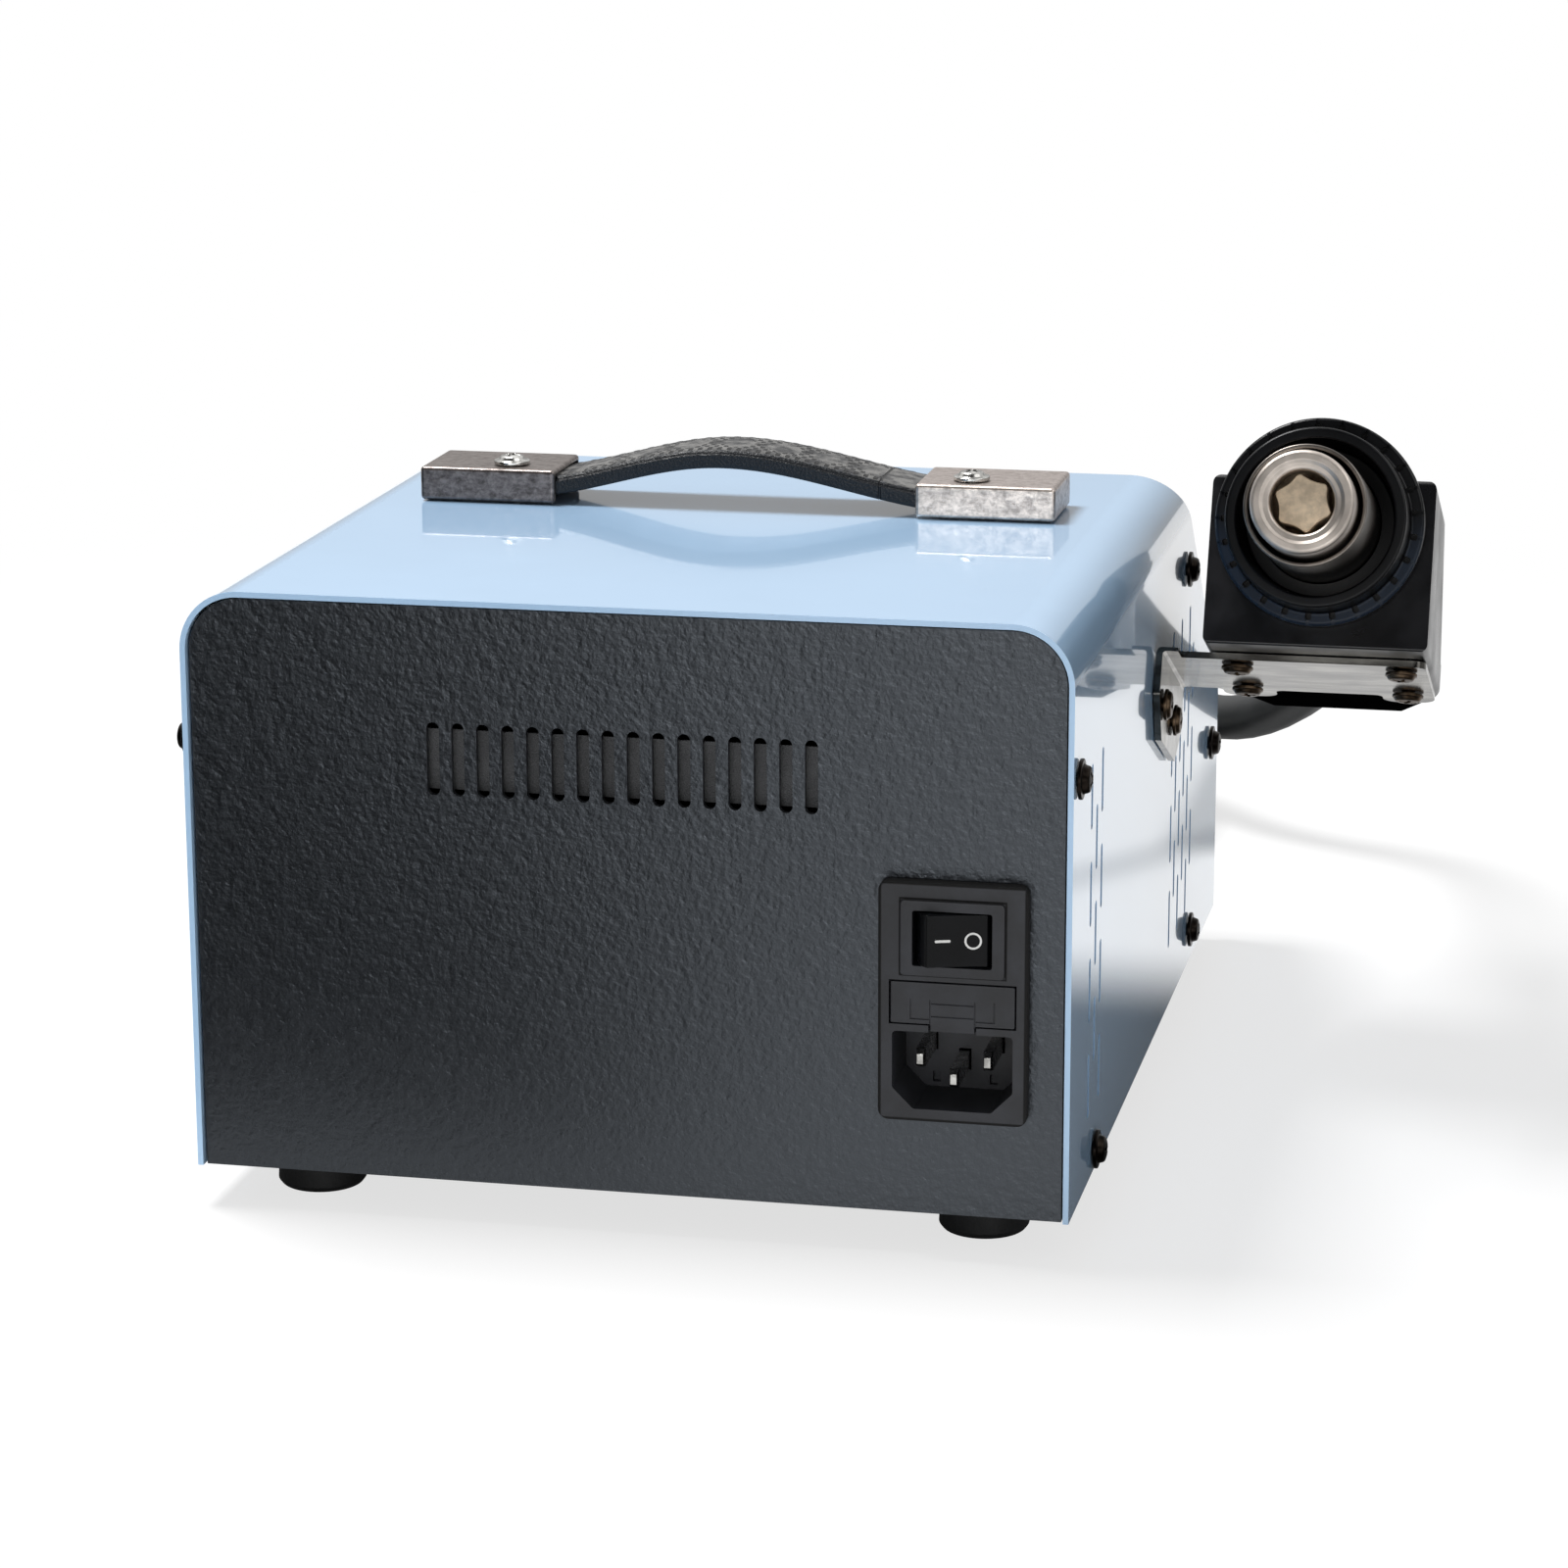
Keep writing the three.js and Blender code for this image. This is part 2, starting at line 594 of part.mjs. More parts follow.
// Mains inlet module
const inletFace = -rearInset + gap + inletFlange;
const frameFace = inletFace + rockerFrame.proud;
const rockerZ = inletTop - rockerFrame.fromTop - rockerFrame.height / 2;
const drawerZ = inletTop - drawerPlate.fromTop - drawerPlate.height / 2;
const socketZ = inletTop - socket.fromTop - socket.height / 2;
const pinPlaces = {
  pin_line: [inletX + pin.spread, socketZ + pin.rowUp],
  pin_neutral: [inletX - pin.spread, socketZ + pin.rowUp],
  pin_earth: [inletX, socketZ - pin.earthDown],
};

function drawerOutline(grow) {
  const [w, h] = [drawerPlate.width / 2 + grow, drawerPlate.height / 2 + grow];
  const t = drawerTab.width / 2 + grow;
  const low = -h - drawerTab.height;
  return polygon([[-w, -h], [-t, -h], [-t, low], [t, low], [t, -h], [w, -h], [w, h], [-w, h]]
    .map(([u, v]) => [inletX + u, drawerZ + v]));
}

function inletHousing() {
  const at = (w, h, y0, y1, z) => box(inletX - w / 2, inletX + w / 2, y0, y1, z - h / 2, z + h / 2);
  const [w, h, c] = [socket.width / 2, socket.height / 2, socket.chamfer];
  const socketShape = polygon([[-w + c, -h], [w - c, -h], [w, -h + c], [w, h], [-w, h], [-w, -h + c]]
    .map(([u, v]) => [inletX + u, socketZ + v]));
  const bodyEnd = inletFace - inletFlange - inletBody.depth;
  const whole = join(
    alongY(roundedBox(inletWidth, inletHeight, inletCorner, inletX, inletMiddle),
      inletFace - inletFlange, inletFace),
    at(inletBody.width, inletBody.height, bodyEnd, inletFace - inletFlange / 2, inletMiddle),
    at(rockerFrame.width, rockerFrame.height, inletFace - inletFlange / 2, frameFace, rockerZ));
  return cut(
    whole,
    at(rockerOpening.width, rockerOpening.height, frameFace - rockerOpening.depth, frameFace + over,
      rockerZ),
    alongY(drawerOutline(gap), inletFace - drawerPlate.thick - gap, inletFace + over),
    at(drawerBody.width + 2 * gap, drawerBody.height + 2 * gap,
      inletFace - drawerPlate.thick - drawerBody.depth - gap, inletFace, drawerZ),
    alongY(socketShape, inletFace - socket.depth, inletFace + over),
    ...Object.values(pinPlaces).map(([x, z]) => box(x - pin.wide / 2 - gap, x + pin.wide / 2 + gap,
      bodyEnd - over, inletFace - socket.depth + over, z - pin.tall / 2 - gap, z + pin.tall / 2 + gap)));
}
place('inlet_housing', inletHousing(), paint.plastic());

for (const [name, [x, z]] of Object.entries(pinPlaces)) {
  place(name, box(x - pin.wide / 2, x + pin.wide / 2, inletFace - inletFlange - inletBody.depth - pin.tail,
    inletFace - pin.recess, z - pin.tall / 2, z + pin.tall / 2), paint.brass());
}

// Power rocker, drawn level about its pivot and then tilted so that its O side is pressed in
function rockerSolid() {
  const half = Math.sqrt(rockerRadius ** 2 - rockerFaceRise ** 2);
  const start = Math.atan2(rockerFaceRise, half);
  const arc = Array.from({ length: rockerArcSteps + 1 },
    (_, i) => start + (rockerSkirt - start) * (i / rockerArcSteps));
  const right = arc.map((a) => [rockerRadius * Math.cos(a), rockerRadius * Math.sin(a)]);
  const left = right.map(([u, v]) => [-u, v]).reverse();
  const shape = polygon([[0, rockerFaceRise - rockerHollow], ...right, ...left].reverse());
  return alongZ(shape, -rockerOpening.height / 2 + gap, rockerOpening.height / 2 - gap);
}
const rocker = place('power_rocker', rockerSolid(), paint.plastic());
rocker.position.set(inletX, frameFace - rockerPivotDepth, rockerZ);
rocker.rotation.z = rockerTilt * radians;

// Fuse drawer with its fuse
const drawerBack = inletFace - drawerPlate.thick;
const fuseY = drawerBack - drawerBody.depth / 2;

function fuseDrawer() {
  const [w, h] = [drawerBody.width / 2, drawerBody.height / 2];
  return cut(
    join(alongY(drawerOutline(0), drawerBack, inletFace),
      box(inletX - w, inletX + w, drawerBack - drawerBody.depth, drawerBack + rooted, drawerZ - h,
        drawerZ + h)),
    box(inletX - fuseLength / 2 - gap, inletX + fuseLength / 2 + gap, fuseY - fuseRadius - gap,
      fuseY + fuseRadius + gap, drawerZ - fuseRadius - gap, drawerZ + h + over));
}
place('fuse_drawer', fuseDrawer(), paint.plastic());
place('fuse', cylinder('x', fuseRadius, inletX - fuseLength / 2, inletX + fuseLength / 2, fuseY, drawerZ, 12),
  paint.glass());

// Carrying handle: a strap between two folded caps
const capMouth = capReach - capLength;
const strapLow = zTop + capHeight - capWall - gap - strapThick;

function strapHeight(x) {
  const half = x < strapCrown ? capMouth + strapCrown : capMouth - strapCrown;
  const t = Math.min(1, Math.abs(x - strapCrown) / half);
  const wave = (1 + Math.cos(Math.PI * t)) / 2;
  return strapLow + strapRise * (strapEase * wave + (1 - strapEase) * (1 - t ** 2));
}

function strapSolid() {
  const end = capReach - capWall - gap;
  const xs = Array.from({ length: strapSteps + 1 }, (_, i) => -capMouth + (2 * capMouth * i) / strapSteps);
  const lower = [[-end, strapLow], ...xs.map((x) => [x, strapHeight(x)]), [end, strapLow]];
  const upper = lower.map(([x, z]) => [x, z + strapThick]).reverse();
  const body = alongY(
    polygon([...lower, ...upper]), capMiddleY - strapWidth / 2, capMiddleY + strapWidth / 2);
  return cut(body, ...capHoles(zTop, zTop + capHeight));
}
place('handle_strap', strapSolid(), paint.rubber());

function strapCap(side) {
  const [x0, x1] = side > 0 ? [capMouth, capReach] : [-capReach, -capMouth];
  const [y0, y1] = [capMiddleY - capWidth / 2, capMiddleY + capWidth / 2];
  const room = side > 0 ? [x0 - over, x1 - capWall] : [x0 + capWall, x1 + over];
  return cut(
    box(x0, x1, y0, y1, zTop + gap, zTop + capHeight),
    box(...room, y0 + capWall, y1 - capWall, zTop - over, zTop + capHeight - capWall),
    ...capHoles(zTop, zTop + capHeight + over));
}
for (const [side, word] of [[-1, 'left'], [1, 'right']]) {
  place(`handle_cap_${word}`, strapCap(side), paint.steel());
  placeScrew(`handle_screw_${word}`, capScrew, capHeight + coverSheet + capScrewPast,
    new THREE.Vector3(side * capScrewX, capScrewY, zTop + capHeight + gap), new THREE.Vector3(0, 0, 1),
    paint.steel());
}

// Bracket, in the shelf's frame: y points back up the shelf, z out of its upper face
const shelf = framed(shelfFrame);
const bracketOuter = -xSide - gap - bracketSheet;
const shelfEnd = -xSide - shelfReach;

const screwXs = [-1, 1].map((side) => cradleX + side * cradleScrewSpread);
const cradleScrewPlaces = screwXs.flatMap((x) => shelfScrewRows.map((s) => [x, -s]));
const shelfHoles = (low, high) => cradleScrewPlaces.map(([x, y]) => (
  cylinder('z', screwHole, low, high, x, y, screwHoleSides)));

function bracketSolid() {
  const inner = -xSide - gap;
  const profile = polygon([
    [inner, -bracketSheet], [inner, bracketSheet - bendEdge], [inner - bendEdge, bracketSheet],
    [shelfEnd, bracketSheet], [shelfEnd, 0], [bracketOuter, 0], [bracketOuter, -bracketSheet]]);
  const earAt = (x) => cylinder('z', shelfEar.radius, 0, bracketSheet, x, -shelfLength - shelfEar.back, 14);
  const front = flangeBack - flangeLength;
  const flangeOutline = polygon([
    [flangeBack, -bracketSheet], [flangeBack, -flangeDrop + flangeCorner],
    [flangeBack - flangeCorner, -flangeDrop], [front + flangeCorner, -flangeDrop],
    [front, -flangeDrop + flangeCorner], [-shelfLength, 0], [0, 0], [flangeBack - 2 * bracketSheet, 0]]);
  const plan = alongY(profile, -shelfLength, 0);
  return cut(
    join(plan, ...screwXs.map(earAt), alongX(flangeOutline, bracketOuter, inner)),
    ...shelfHoles(-over, bracketSheet + over),
    ...flangeScrews.map(([along, down]) => (
      cylinder('x', screwHole, bracketOuter - over, -xSide + over, -along, -down, screwHoleSides))));
}
place('holder_bracket', bracketSolid(), paint.steel(), shelf);

flangeScrews.forEach(([along, down], i) => {
  placeScrew(`bracket_screw_${i + 1}`, panScrew, sideScrewLength,
    new THREE.Vector3(bracketOuter - gap, -along, -down), new THREE.Vector3(-1, 0, 0), paint.darkSteel(),
    shelf);
});
cradleScrewPlaces.forEach(([x, y], i) => {
  placeScrew(`cradle_screw_${i + 1}`, panScrew, sideScrewLength, new THREE.Vector3(x, y, -gap),
    new THREE.Vector3(0, 0, -1), paint.darkSteel(), shelf);
});

// Cradle: a block on a long tongue, with a channel for the gun's barrel
const gunInShelf = shelfFrame.clone().invert().multiply(gunFrame);

function cradleSolid() {
  const half = cradleWidth / 2;
  const low = bracketSheet + gap;
  const side = polygon([[cradleOverhang, low], [cradleOverhang, cradleTop], [-cheekTopFront, cradleTop],
    [-cheekFoot, cradleBase], [-cradleTongue, cradleBase], [-cradleTongue, low]]);
  const edge = [
    [half, cradleTop - shoulder.bevelDown], [half - shoulder.bevelIn, cradleTop],
    [half - shoulder.flat, cradleTop], [half - shoulder.foot, cradleTop - shoulder.drop]];
  const mirrored = edge.map(([u, v]) => [-u, v]).reverse();
  const back = polygon([[-half, low], [half, low], ...edge, ...mirrored].map(([u, v]) => [cradleX + u, v]));
  const corner = (way) => alongZ(polygon([
    [cradleX + way * half, -cradleTongue + tongueChamfer.along],
    [cradleX + way * (half + over), -cradleTongue + tongueChamfer.along],
    [cradleX + way * (half + over), -cradleTongue - over],
    [cradleX + way * (half - tongueChamfer.across), -cradleTongue - over],
    [cradleX + way * (half - tongueChamfer.across), -cradleTongue]]), 0, cradleTop);
  const bore = barrelRadius + gap;
  const channel = join(
    inFrame(cylinder('z', bore, -cradleTongue - cradleTop, collarThick, 0, 0, 24), gunInShelf),
    inFrame(box(-bore, bore, -cradleTop, 0, -cradleTongue - cradleTop, collarThick), gunInShelf));
  const block = alongX(side, cradleX - half, cradleX + half)
    .intersect(alongY(back, -cradleTongue - over, cradleOverhang + over));
  return cut(block, corner(1), corner(-1), channel, ...shelfHoles(0, sideScrewLength + gap));
}
place('gun_cradle', cradleSolid(), paint.plastic(), shelf);

// Gun, in its own frame: z runs along the axis out of the nozzle, from the collar's front face
const gun = framed(gunFrame);
const handleFront = -collarThick - gap;
const handleEnd = handleFront - handleLength;
const tubeBack = handleFront - tubeRoot;

function collarSolid() {
  const bore = tubeRadius + gap;
  const body = turned(ring([
    [bore, -collarThick], [collarRadius, -collarThick], [collarRadius, -collarEdge],
    [collarRadius - collarEdge, 0], [collarNeck.radius, 0],
    [collarNeck.radius, collarNeck.high - collarNeck.edge],
    [collarNeck.radius - collarNeck.edge, collarNeck.high],
    [collarNeck.bore + collarNeck.lip, collarNeck.high], [collarNeck.bore, collarNeck.high - collarNeck.lip],
    [collarNeck.bore - collarNeck.taper, collarWeb - collarThick], [bore, collarWeb - collarThick]]), 36);
  const notches = Array.from({ length: notch.count }, (_, i) => inFrame(
    box(collarRadius - notch.long, collarRadius + over, -notch.wide / 2, notch.wide / 2, -notch.deep, over),
    new THREE.Matrix4().makeRotationZ((i / notch.count) * 2 * Math.PI)));
  return cut(body, ...notches);
}
place('gun_collar', collarSolid(), paint.plastic(), gun);

place('gun_handle', turned([
  [0, tubeBack - gap], [tubeRadius + gap, tubeBack - gap], [tubeRadius + gap, handleFront],
  [barrelRadius, handleFront], [barrelRadius, handleFront - barrelLength],
  [gripRadius, handleFront - barrelLength - handleShape.taper],
  [gripRadius, handleEnd + handleShape.roundStart],
  [gripRadius - handleShape.roundIn, handleEnd + handleShape.roundEnd],
  [gripRadius - handleShape.endIn, handleEnd], [0, handleEnd]], 24), paint.plastic(), gun);

place('heater_tube', turned(ring([
  [tubeRadius - tubeWall, tubeBack], [tubeRadius, tubeBack], [tubeRadius, tubeReach],
  [tubeRadius - tubeWall, tubeReach]]), 24), paint.steel(), gun);

const nozzleSeat = tubeRadius - tubeWall - gap;
const nozzleBore = nozzleRadius - nozzleWall;
place('nozzle', turned(ring([
  [nozzleBore, nozzleBack], [nozzleSeat, nozzleBack], [nozzleSeat, nozzleBack + nozzleStep.seat],
  [nozzleRadius, nozzleBack + nozzleStep.seat + nozzleStep.slope],
  [nozzleRadius, nozzleReach - nozzleLip.start],
  [nozzleRadius - nozzleLip.shoulderIn, nozzleReach - nozzleLip.shoulderIn],
  [nozzleRadius - nozzleLip.crownIn, nozzleReach],
  [nozzleMouth + nozzleLip.shoulderIn, nozzleReach - nozzleLip.innerDown],
  [nozzleMouth, nozzleReach - nozzleLip.mouthDown], [nozzleMouth, nozzleReach - nozzleStep.mouthDeep],
  [nozzleBore, nozzleReach - nozzleStep.boreDeep]]), 24), paint.steel(), gun);

function coreSolid() {
  const points = Array.from({ length: 2 * corePoints }, (_, i) => {
    const r = i % 2 ? coreRadius * coreWaist : coreRadius;
    const a = (i / corePoints) * Math.PI;
    return [r * Math.cos(a), r * Math.sin(a)];
  });
  const footTop = nozzleReach - coreFoot.deep;
  return join(
    alongZ(polygon(points), footTop - rooted, nozzleReach - coreRecess),
    cylinder('z', nozzleBore - gap, nozzleBack + coreFoot.back, footTop, 0, 0, 18));
}
place('ceramic_core', coreSolid(), paint.ceramic(), gun);

const bootFront = handleEnd - gap;
const bootEnd = bootFront - bootLength;
place('gun_boot', turned([
  [0, bootFront], [bootRadius, bootFront], [bootRadius, bootFront - bootShape.collar],
  [bootRadius - bootShape.taperIn, bootEnd + bootShape.edge],
  [bootRadius - bootShape.endIn, bootEnd], [0, bootEnd]], 16), paint.rubber(), gun);

// Hose gland in the front panel
const glandFace = yFront - glandReach;
const glandFrame = new THREE.Matrix4().makeRotationX(-Math.PI / 2)
  .setPosition(glandX, yFront, glandHeight);
place('hose_gland', inFrame(turned(ring([
  [glandBore, -glandReach], [glandBody - glandTaper, -glandReach], [glandBody, -glandNut.thick],
  [glandNut.radius, -glandNut.thick], [glandNut.radius, -gap], [glandBody, -gap],
  [glandBody, glandInside], [glandBore, glandInside]]), 16), glandFrame), paint.black());

// Loose hose: from the gun's boot to the top of the coil, the coil, and from its lower end to the gland
const hoseRadius = hoseDiameter / 2;
const coilX = glandX - coilRadius;
const coilY = glandFace - gap - coilRun;
const coilLow = hoseRadius + coilLift;

// Height of the winding after an angle from its lower end: flat for half a turn, then up one layer
function coilHeight(angle) {
  const turn = Math.floor(angle / 360);
  const part = angle / 360 - turn;
  const climb = part < 0.5 ? 0 : (1 - Math.cos((part - 0.5) * 2 * Math.PI)) / 2;
  return coilLow + coilPitch * (turn + climb);
}

function coilPoint(angle) {
  const a = -angle * radians;
  return new THREE.Vector3(
    coilX + coilRadius * Math.cos(a), coilY + coilRadius * Math.sin(a), coilHeight(angle));
}

const coilAngle = 360 * coilTurnsWhole + (360 - coilEntryAngle);
const straight = hoseDiameter;
const coilPoints = () => {
  const count = Math.round((coilAngle / 360) * coilSteps);
  const points = Array.from({ length: count + 1 }, (_, i) => coilPoint((coilAngle * i) / count));
  const leave = new THREE.Vector3(0, 1, 0);
  const arrive = new THREE.Vector3(Math.sin(coilAngle * radians), Math.cos(coilAngle * radians), 0).negate();
  return [points[0].clone().addScaledVector(leave, straight), ...points,
    points[count].clone().addScaledVector(arrive, straight)];
};

// One unbroken tube through the points, its section square to the line
function tubeThrough(points, radius, sides) {
  const positions = [];
  const index = [];
  const up = new THREE.Vector3(0, 0, 1);
  points.forEach((point, i) => {
    const before = points[Math.max(0, i - 1)];
    const after = points[Math.min(points.length - 1, i + 1)];
    const forward = after.clone().sub(before).normalize();
    const across = new THREE.Vector3().crossVectors(forward, up).normalize();
    const lift = new THREE.Vector3().crossVectors(across, forward);
    for (let k = 0; k < sides; k += 1) {
      const a = (k / sides) * 2 * Math.PI;
      const corner = point.clone().addScaledVector(across, radius * Math.cos(a)).addScaledVector(lift,
        radius * Math.sin(a));
      positions.push(corner.x, corner.y, corner.z);
    }
  });
  const at = (i, k) => i * sides + (k % sides);
  for (let i = 0; i < points.length - 1; i += 1) {
    for (let k = 0; k < sides; k += 1) {
      index.push(at(i, k), at(i + 1, k), at(i + 1, k + 1), at(i, k), at(i + 1, k + 1), at(i, k + 1));
    }
  }
  for (let k = 1; k < sides - 1; k += 1) {
    index.push(at(0, 0), at(0, k), at(0, k + 1));
    index.push(at(points.length - 1, 0), at(points.length - 1, k + 1), at(points.length - 1, k));
  }
  const geometry = new THREE.BufferGeometry();
  geometry.setAttribute('position', new THREE.BufferAttribute(new Float32Array(positions), 3));
  geometry.setIndex(index);
  return geometry;
}

const coilLine = coilPoints();
place('hose_coil', solid(tubeThrough(coilLine, hoseRadius, coilSides)), paint.rubber(), looseHose);

// Least gap of the winding to itself, measured on points along it
function leastGap(line) {
  const count = 400;
  const curve = new THREE.CatmullRomCurve3(line, false, 'centripetal');
  const points = curve.getSpacedPoints(count);
  const stepLength = curve.getLength() / count;
  const apart = Math.ceil((Math.PI * coilRadius) / stepLength);
  let least = Infinity;
  for (let i = 0; i < points.length; i += 1) {
    for (let j = i + apart; j < points.length; j += 1) {
      least = Math.min(least, points[i].distanceTo(points[j]));
    }
  }
  return least - hoseDiameter;
}

function sweptHose(points, steps) {
  const section = polygon(Array.from({ length: hoseSides }, (_, i) => {
    const a = (i / hoseSides) * 2 * Math.PI;
    return [hoseRadius * Math.cos(a), hoseRadius * Math.sin(a)];
  }));
  const curve = new THREE.CatmullRomCurve3(points, false, 'centripetal');
  const options = { steps, bevelEnabled: false, extrudePath: curve };
  return { curve, body: solid(new THREE.ExtrudeGeometry(section, options)) };
}

// Points along the smooth curve that its guide points draw: it starts at the first and ends at the last
function routePoints(guides, count) {
  return Array.from({ length: count + 1 }, (_, i) => {
    const between = (points) => points.slice(1).map((point, k) => points[k].clone().lerp(point, i / count));
    let level = guides;
    while (level.length > 1) level = between(level);
    return level[0];
  });
}

const gunExit = (beyond) => new THREE.Vector3(0, 0, bootEnd - gap - beyond).applyMatrix4(gunFrame);
const coilTop = coilLine[coilLine.length - 1];
const coilTopAway = coilTop.clone().sub(coilLine[coilLine.length - 2]).normalize();
const coilFoot = coilLine[0];
const coilApproach = (beyond) => coilTop.clone().addScaledVector(coilTopAway, gap + beyond);
const gunRun = sweptHose(routePoints([
  gunExit(0),
  ...gunRunPull.map(gunExit),
  new THREE.Vector3(coilX - gunRunGuide.out, coilY + gunRunGuide.back, gunRunGuide.high),
  coilApproach(gunRunArrival),
  coilApproach(gunRunArrival),
  coilApproach(0),
], gunRunSteps), 16);
place('hose_run_gun', gunRun.body, paint.rubber(), looseHose);

const glandExit = new THREE.Vector3(glandX, glandFace - gap, glandHeight);
const dropLength = coilRun - 2 * straight;
const dropSteps = 12;
const stationDrop = Array.from({ length: dropSteps + 1 }, (_, step) => {
  const part = step / dropSteps;
  const fall = part < 0.5 ? 2 * part ** 2 : 1 - 2 * (1 - part) ** 2;
  return new THREE.Vector3(glandX, glandExit.y - straight - part * dropLength,
    glandExit.z + (coilFoot.z - glandExit.z) * fall);
});
const stationRun = sweptHose([glandExit, ...stationDrop.slice(0, -1),
  coilFoot.clone().add(new THREE.Vector3(0, gap, 0))], 12);
place('hose_run_station', stationRun.body, paint.rubber(), looseHose);

// Front fittings, in the slope's frame
const slope = framed(slopeFrame);

place('display_window', join(
  box(-windowWidth / 2 + gap, windowWidth / 2 - gap, windowUp - windowHeight / 2 + gap,
    windowUp + windowHeight / 2 - gap, slopeBack - gap - windowThick / 2, slopeFace),
  box(-windowWidth / 2 - windowLip, windowWidth / 2 + windowLip, windowUp - windowHeight / 2 - windowLip,
    windowUp + windowHeight / 2 + windowLip, slopeBack - gap - windowThick / 2, slopeBack - gap)),
paint.smoked(), slope);

const switchTop = boardFace + switchHeight;
const buttonNames = [
  'preset_button', 'heat_down_button', 'heat_up_button', 'air_down_button', 'air_up_button',
];
const buttonTop = slopeFace + buttonProud;
const plungerEnd = switchTop + buttonTravel + gap;
const flangeFront = slopeBack - gap;
const flangeRear = flangeFront - buttonShape.flangeThick;
buttonPlaces.forEach(([u, v], i) => {
  const button = place(buttonNames[i], turned([
    [0, plungerEnd], [buttonShape.plunger, plungerEnd], [buttonShape.plunger, flangeRear],
    [buttonRadius + buttonFlange, flangeRear], [buttonRadius + buttonFlange, flangeFront],
    [buttonRadius, flangeFront], [buttonRadius, buttonTop - buttonShape.edge],
    [buttonRadius - buttonShape.edge, buttonTop], [0, buttonTop]], 12), paint.plastic(), slope);
  button.position.set(u, v, 0);
});

// Control board with its digit blocks and one key switch under each button
function controlBoard() {
  const plate = box(-boardSize.width / 2, boardSize.width / 2, boardMiddle - boardSize.height / 2,
    boardMiddle + boardSize.height / 2, boardFace - boardSize.thick, boardFace);
  const low = boardFace - rooted;
  const onBoard = (width, height, u, v, top) => (
    box(u - width / 2, u + width / 2, v - height / 2, v + height / 2, low, top));
  const digits = [-1, 1].map((side) => onBoard(digitBlock.width, digitBlock.height,
    side * digitBlock.across, windowUp, slopeBack - windowThick / 2 - 2 * gap));
  const keys = buttonPlaces.map(([u, v]) => onBoard(switchWidth, switchWidth, u, v, switchTop));
  return join(plate, ...digits, ...keys);
}
place('control_board', controlBoard(), paint.board(), slope);

// Transformer on the tray
const floor = zBase + panelSheet + gap;

function transformerSolid() {
  const { width, depth, height, x, y, stack, coil, footOut, footThick } = transformer;
  const middle = floor + height / 2;
  return join(
    box(x - width / 2, x + width / 2, y - stack / 2, y + stack / 2, floor, floor + height),
    box(x - width / 4, x + width / 4, y - stack / 2 - coil, y + stack / 2 + coil, middle - height / 3,
      middle + height / 3),
    box(x - width / 2 - footOut, x + width / 2 + footOut, y - depth / 2, y + depth / 2, floor,
      floor + footThick));
}
place('transformer', transformerSolid(), paint.copper());

// Blower: a round scroll with a side outlet, open above, and a bladed wheel on its motor shaft
function blowerHousing() {
  const { x, y, radius, height, wall, inlet, outlet, spout } = blower;
  const outletX = x + radius - outlet;
  return cut(
    join(
      cylinder('z', radius, floor, floor + height, x, y, 32),
      box(outletX, x + radius, y - radius - spout, y, floor, floor + height)),
    cylinder('z', radius - wall, floor + wall, floor + height - wall, x, y, 32),
    box(outletX + wall, x + radius - wall, y - radius - spout - over, y - radius / 2, floor + wall,
      floor + height - wall),
    cylinder('z', inlet, floor + height - wall - over, floor + height + over, x, y, 24),
  ).add(cylinder('z', impeller.shaft, floor + wall / 2, floor + wall + impeller.height, x, y, 12))
    .add(cylinder('z', impeller.hub, floor + wall / 2, floor + wall + impeller.running, x, y, 16));
}
place('blower_housing', blowerHousing(), paint.plastic());

function blowerWheel() {
  const low = floor + blower.wall + impeller.running + gap;
  const high = low + impeller.height;
  const bore = impeller.shaft + gap;
  const disc = cut(
    join(
      cylinder('z', impeller.radius, low, low + impeller.disc, 0, 0, 33),
      cylinder('z', impeller.hub, low, high - impeller.hubDown, 0, 0, 16)),
    cylinder('z', bore, low - over, high + over, 0, 0, 12));
  const bladeEnd = impeller.radius - impeller.bladeInset;
  const blade = box(bladeEnd - impeller.bladeLong, bladeEnd, -impeller.bladeThick / 2,
    impeller.bladeThick / 2, low + impeller.disc - rooted, high);
  const blades = Array.from({ length: impeller.blades }, (_, i) => inFrame(
    blade, new THREE.Matrix4().makeRotationZ(((i + 0.5) / impeller.blades) * 2 * Math.PI)));
  return join(disc, ...blades);
}
const wheel = place('blower_wheel', blowerWheel(), paint.plastic());
wheel.position.set(blower.x, blower.y, 0);

// Air duct inside the case, from the blower's outlet to the gland
const outletMiddle = blower.x + blower.radius - blower.outlet / 2;
const outletMouth = blower.y - blower.radius - blower.spout;
const ductCurve = new THREE.CatmullRomCurve3([
  new THREE.Vector3(outletMiddle, outletMouth - gap, floor + blower.height / 2),
  new THREE.Vector3(outletMiddle, outletMouth - ductStraight, floor + blower.height / 2),
  new THREE.Vector3((outletMiddle + glandX) / 2, (outletMouth + yFront + glandInside) / 2,
    (floor + blower.height / 2 + glandHeight) / 2),
  new THREE.Vector3(glandX, yFront + glandInside + ductStraight, glandHeight),
  new THREE.Vector3(glandX, yFront + glandInside + gap, glandHeight),
], false, 'centripetal');
const ductCircle = (radius) => polygon(Array.from({ length: ductSides }, (_, i) => {
  const a = (i / ductSides) * 2 * Math.PI;
  return [radius * Math.cos(a), radius * Math.sin(a)];
}));
const ductSection = ductCircle(ductRadius);
ductSection.holes.push(ductCircle(ductBore));
place('air_duct', solid(new THREE.ExtrudeGeometry(ductSection, {
  steps: 12, bevelEnabled: false, extrudePath: ductCurve })), paint.rubber());

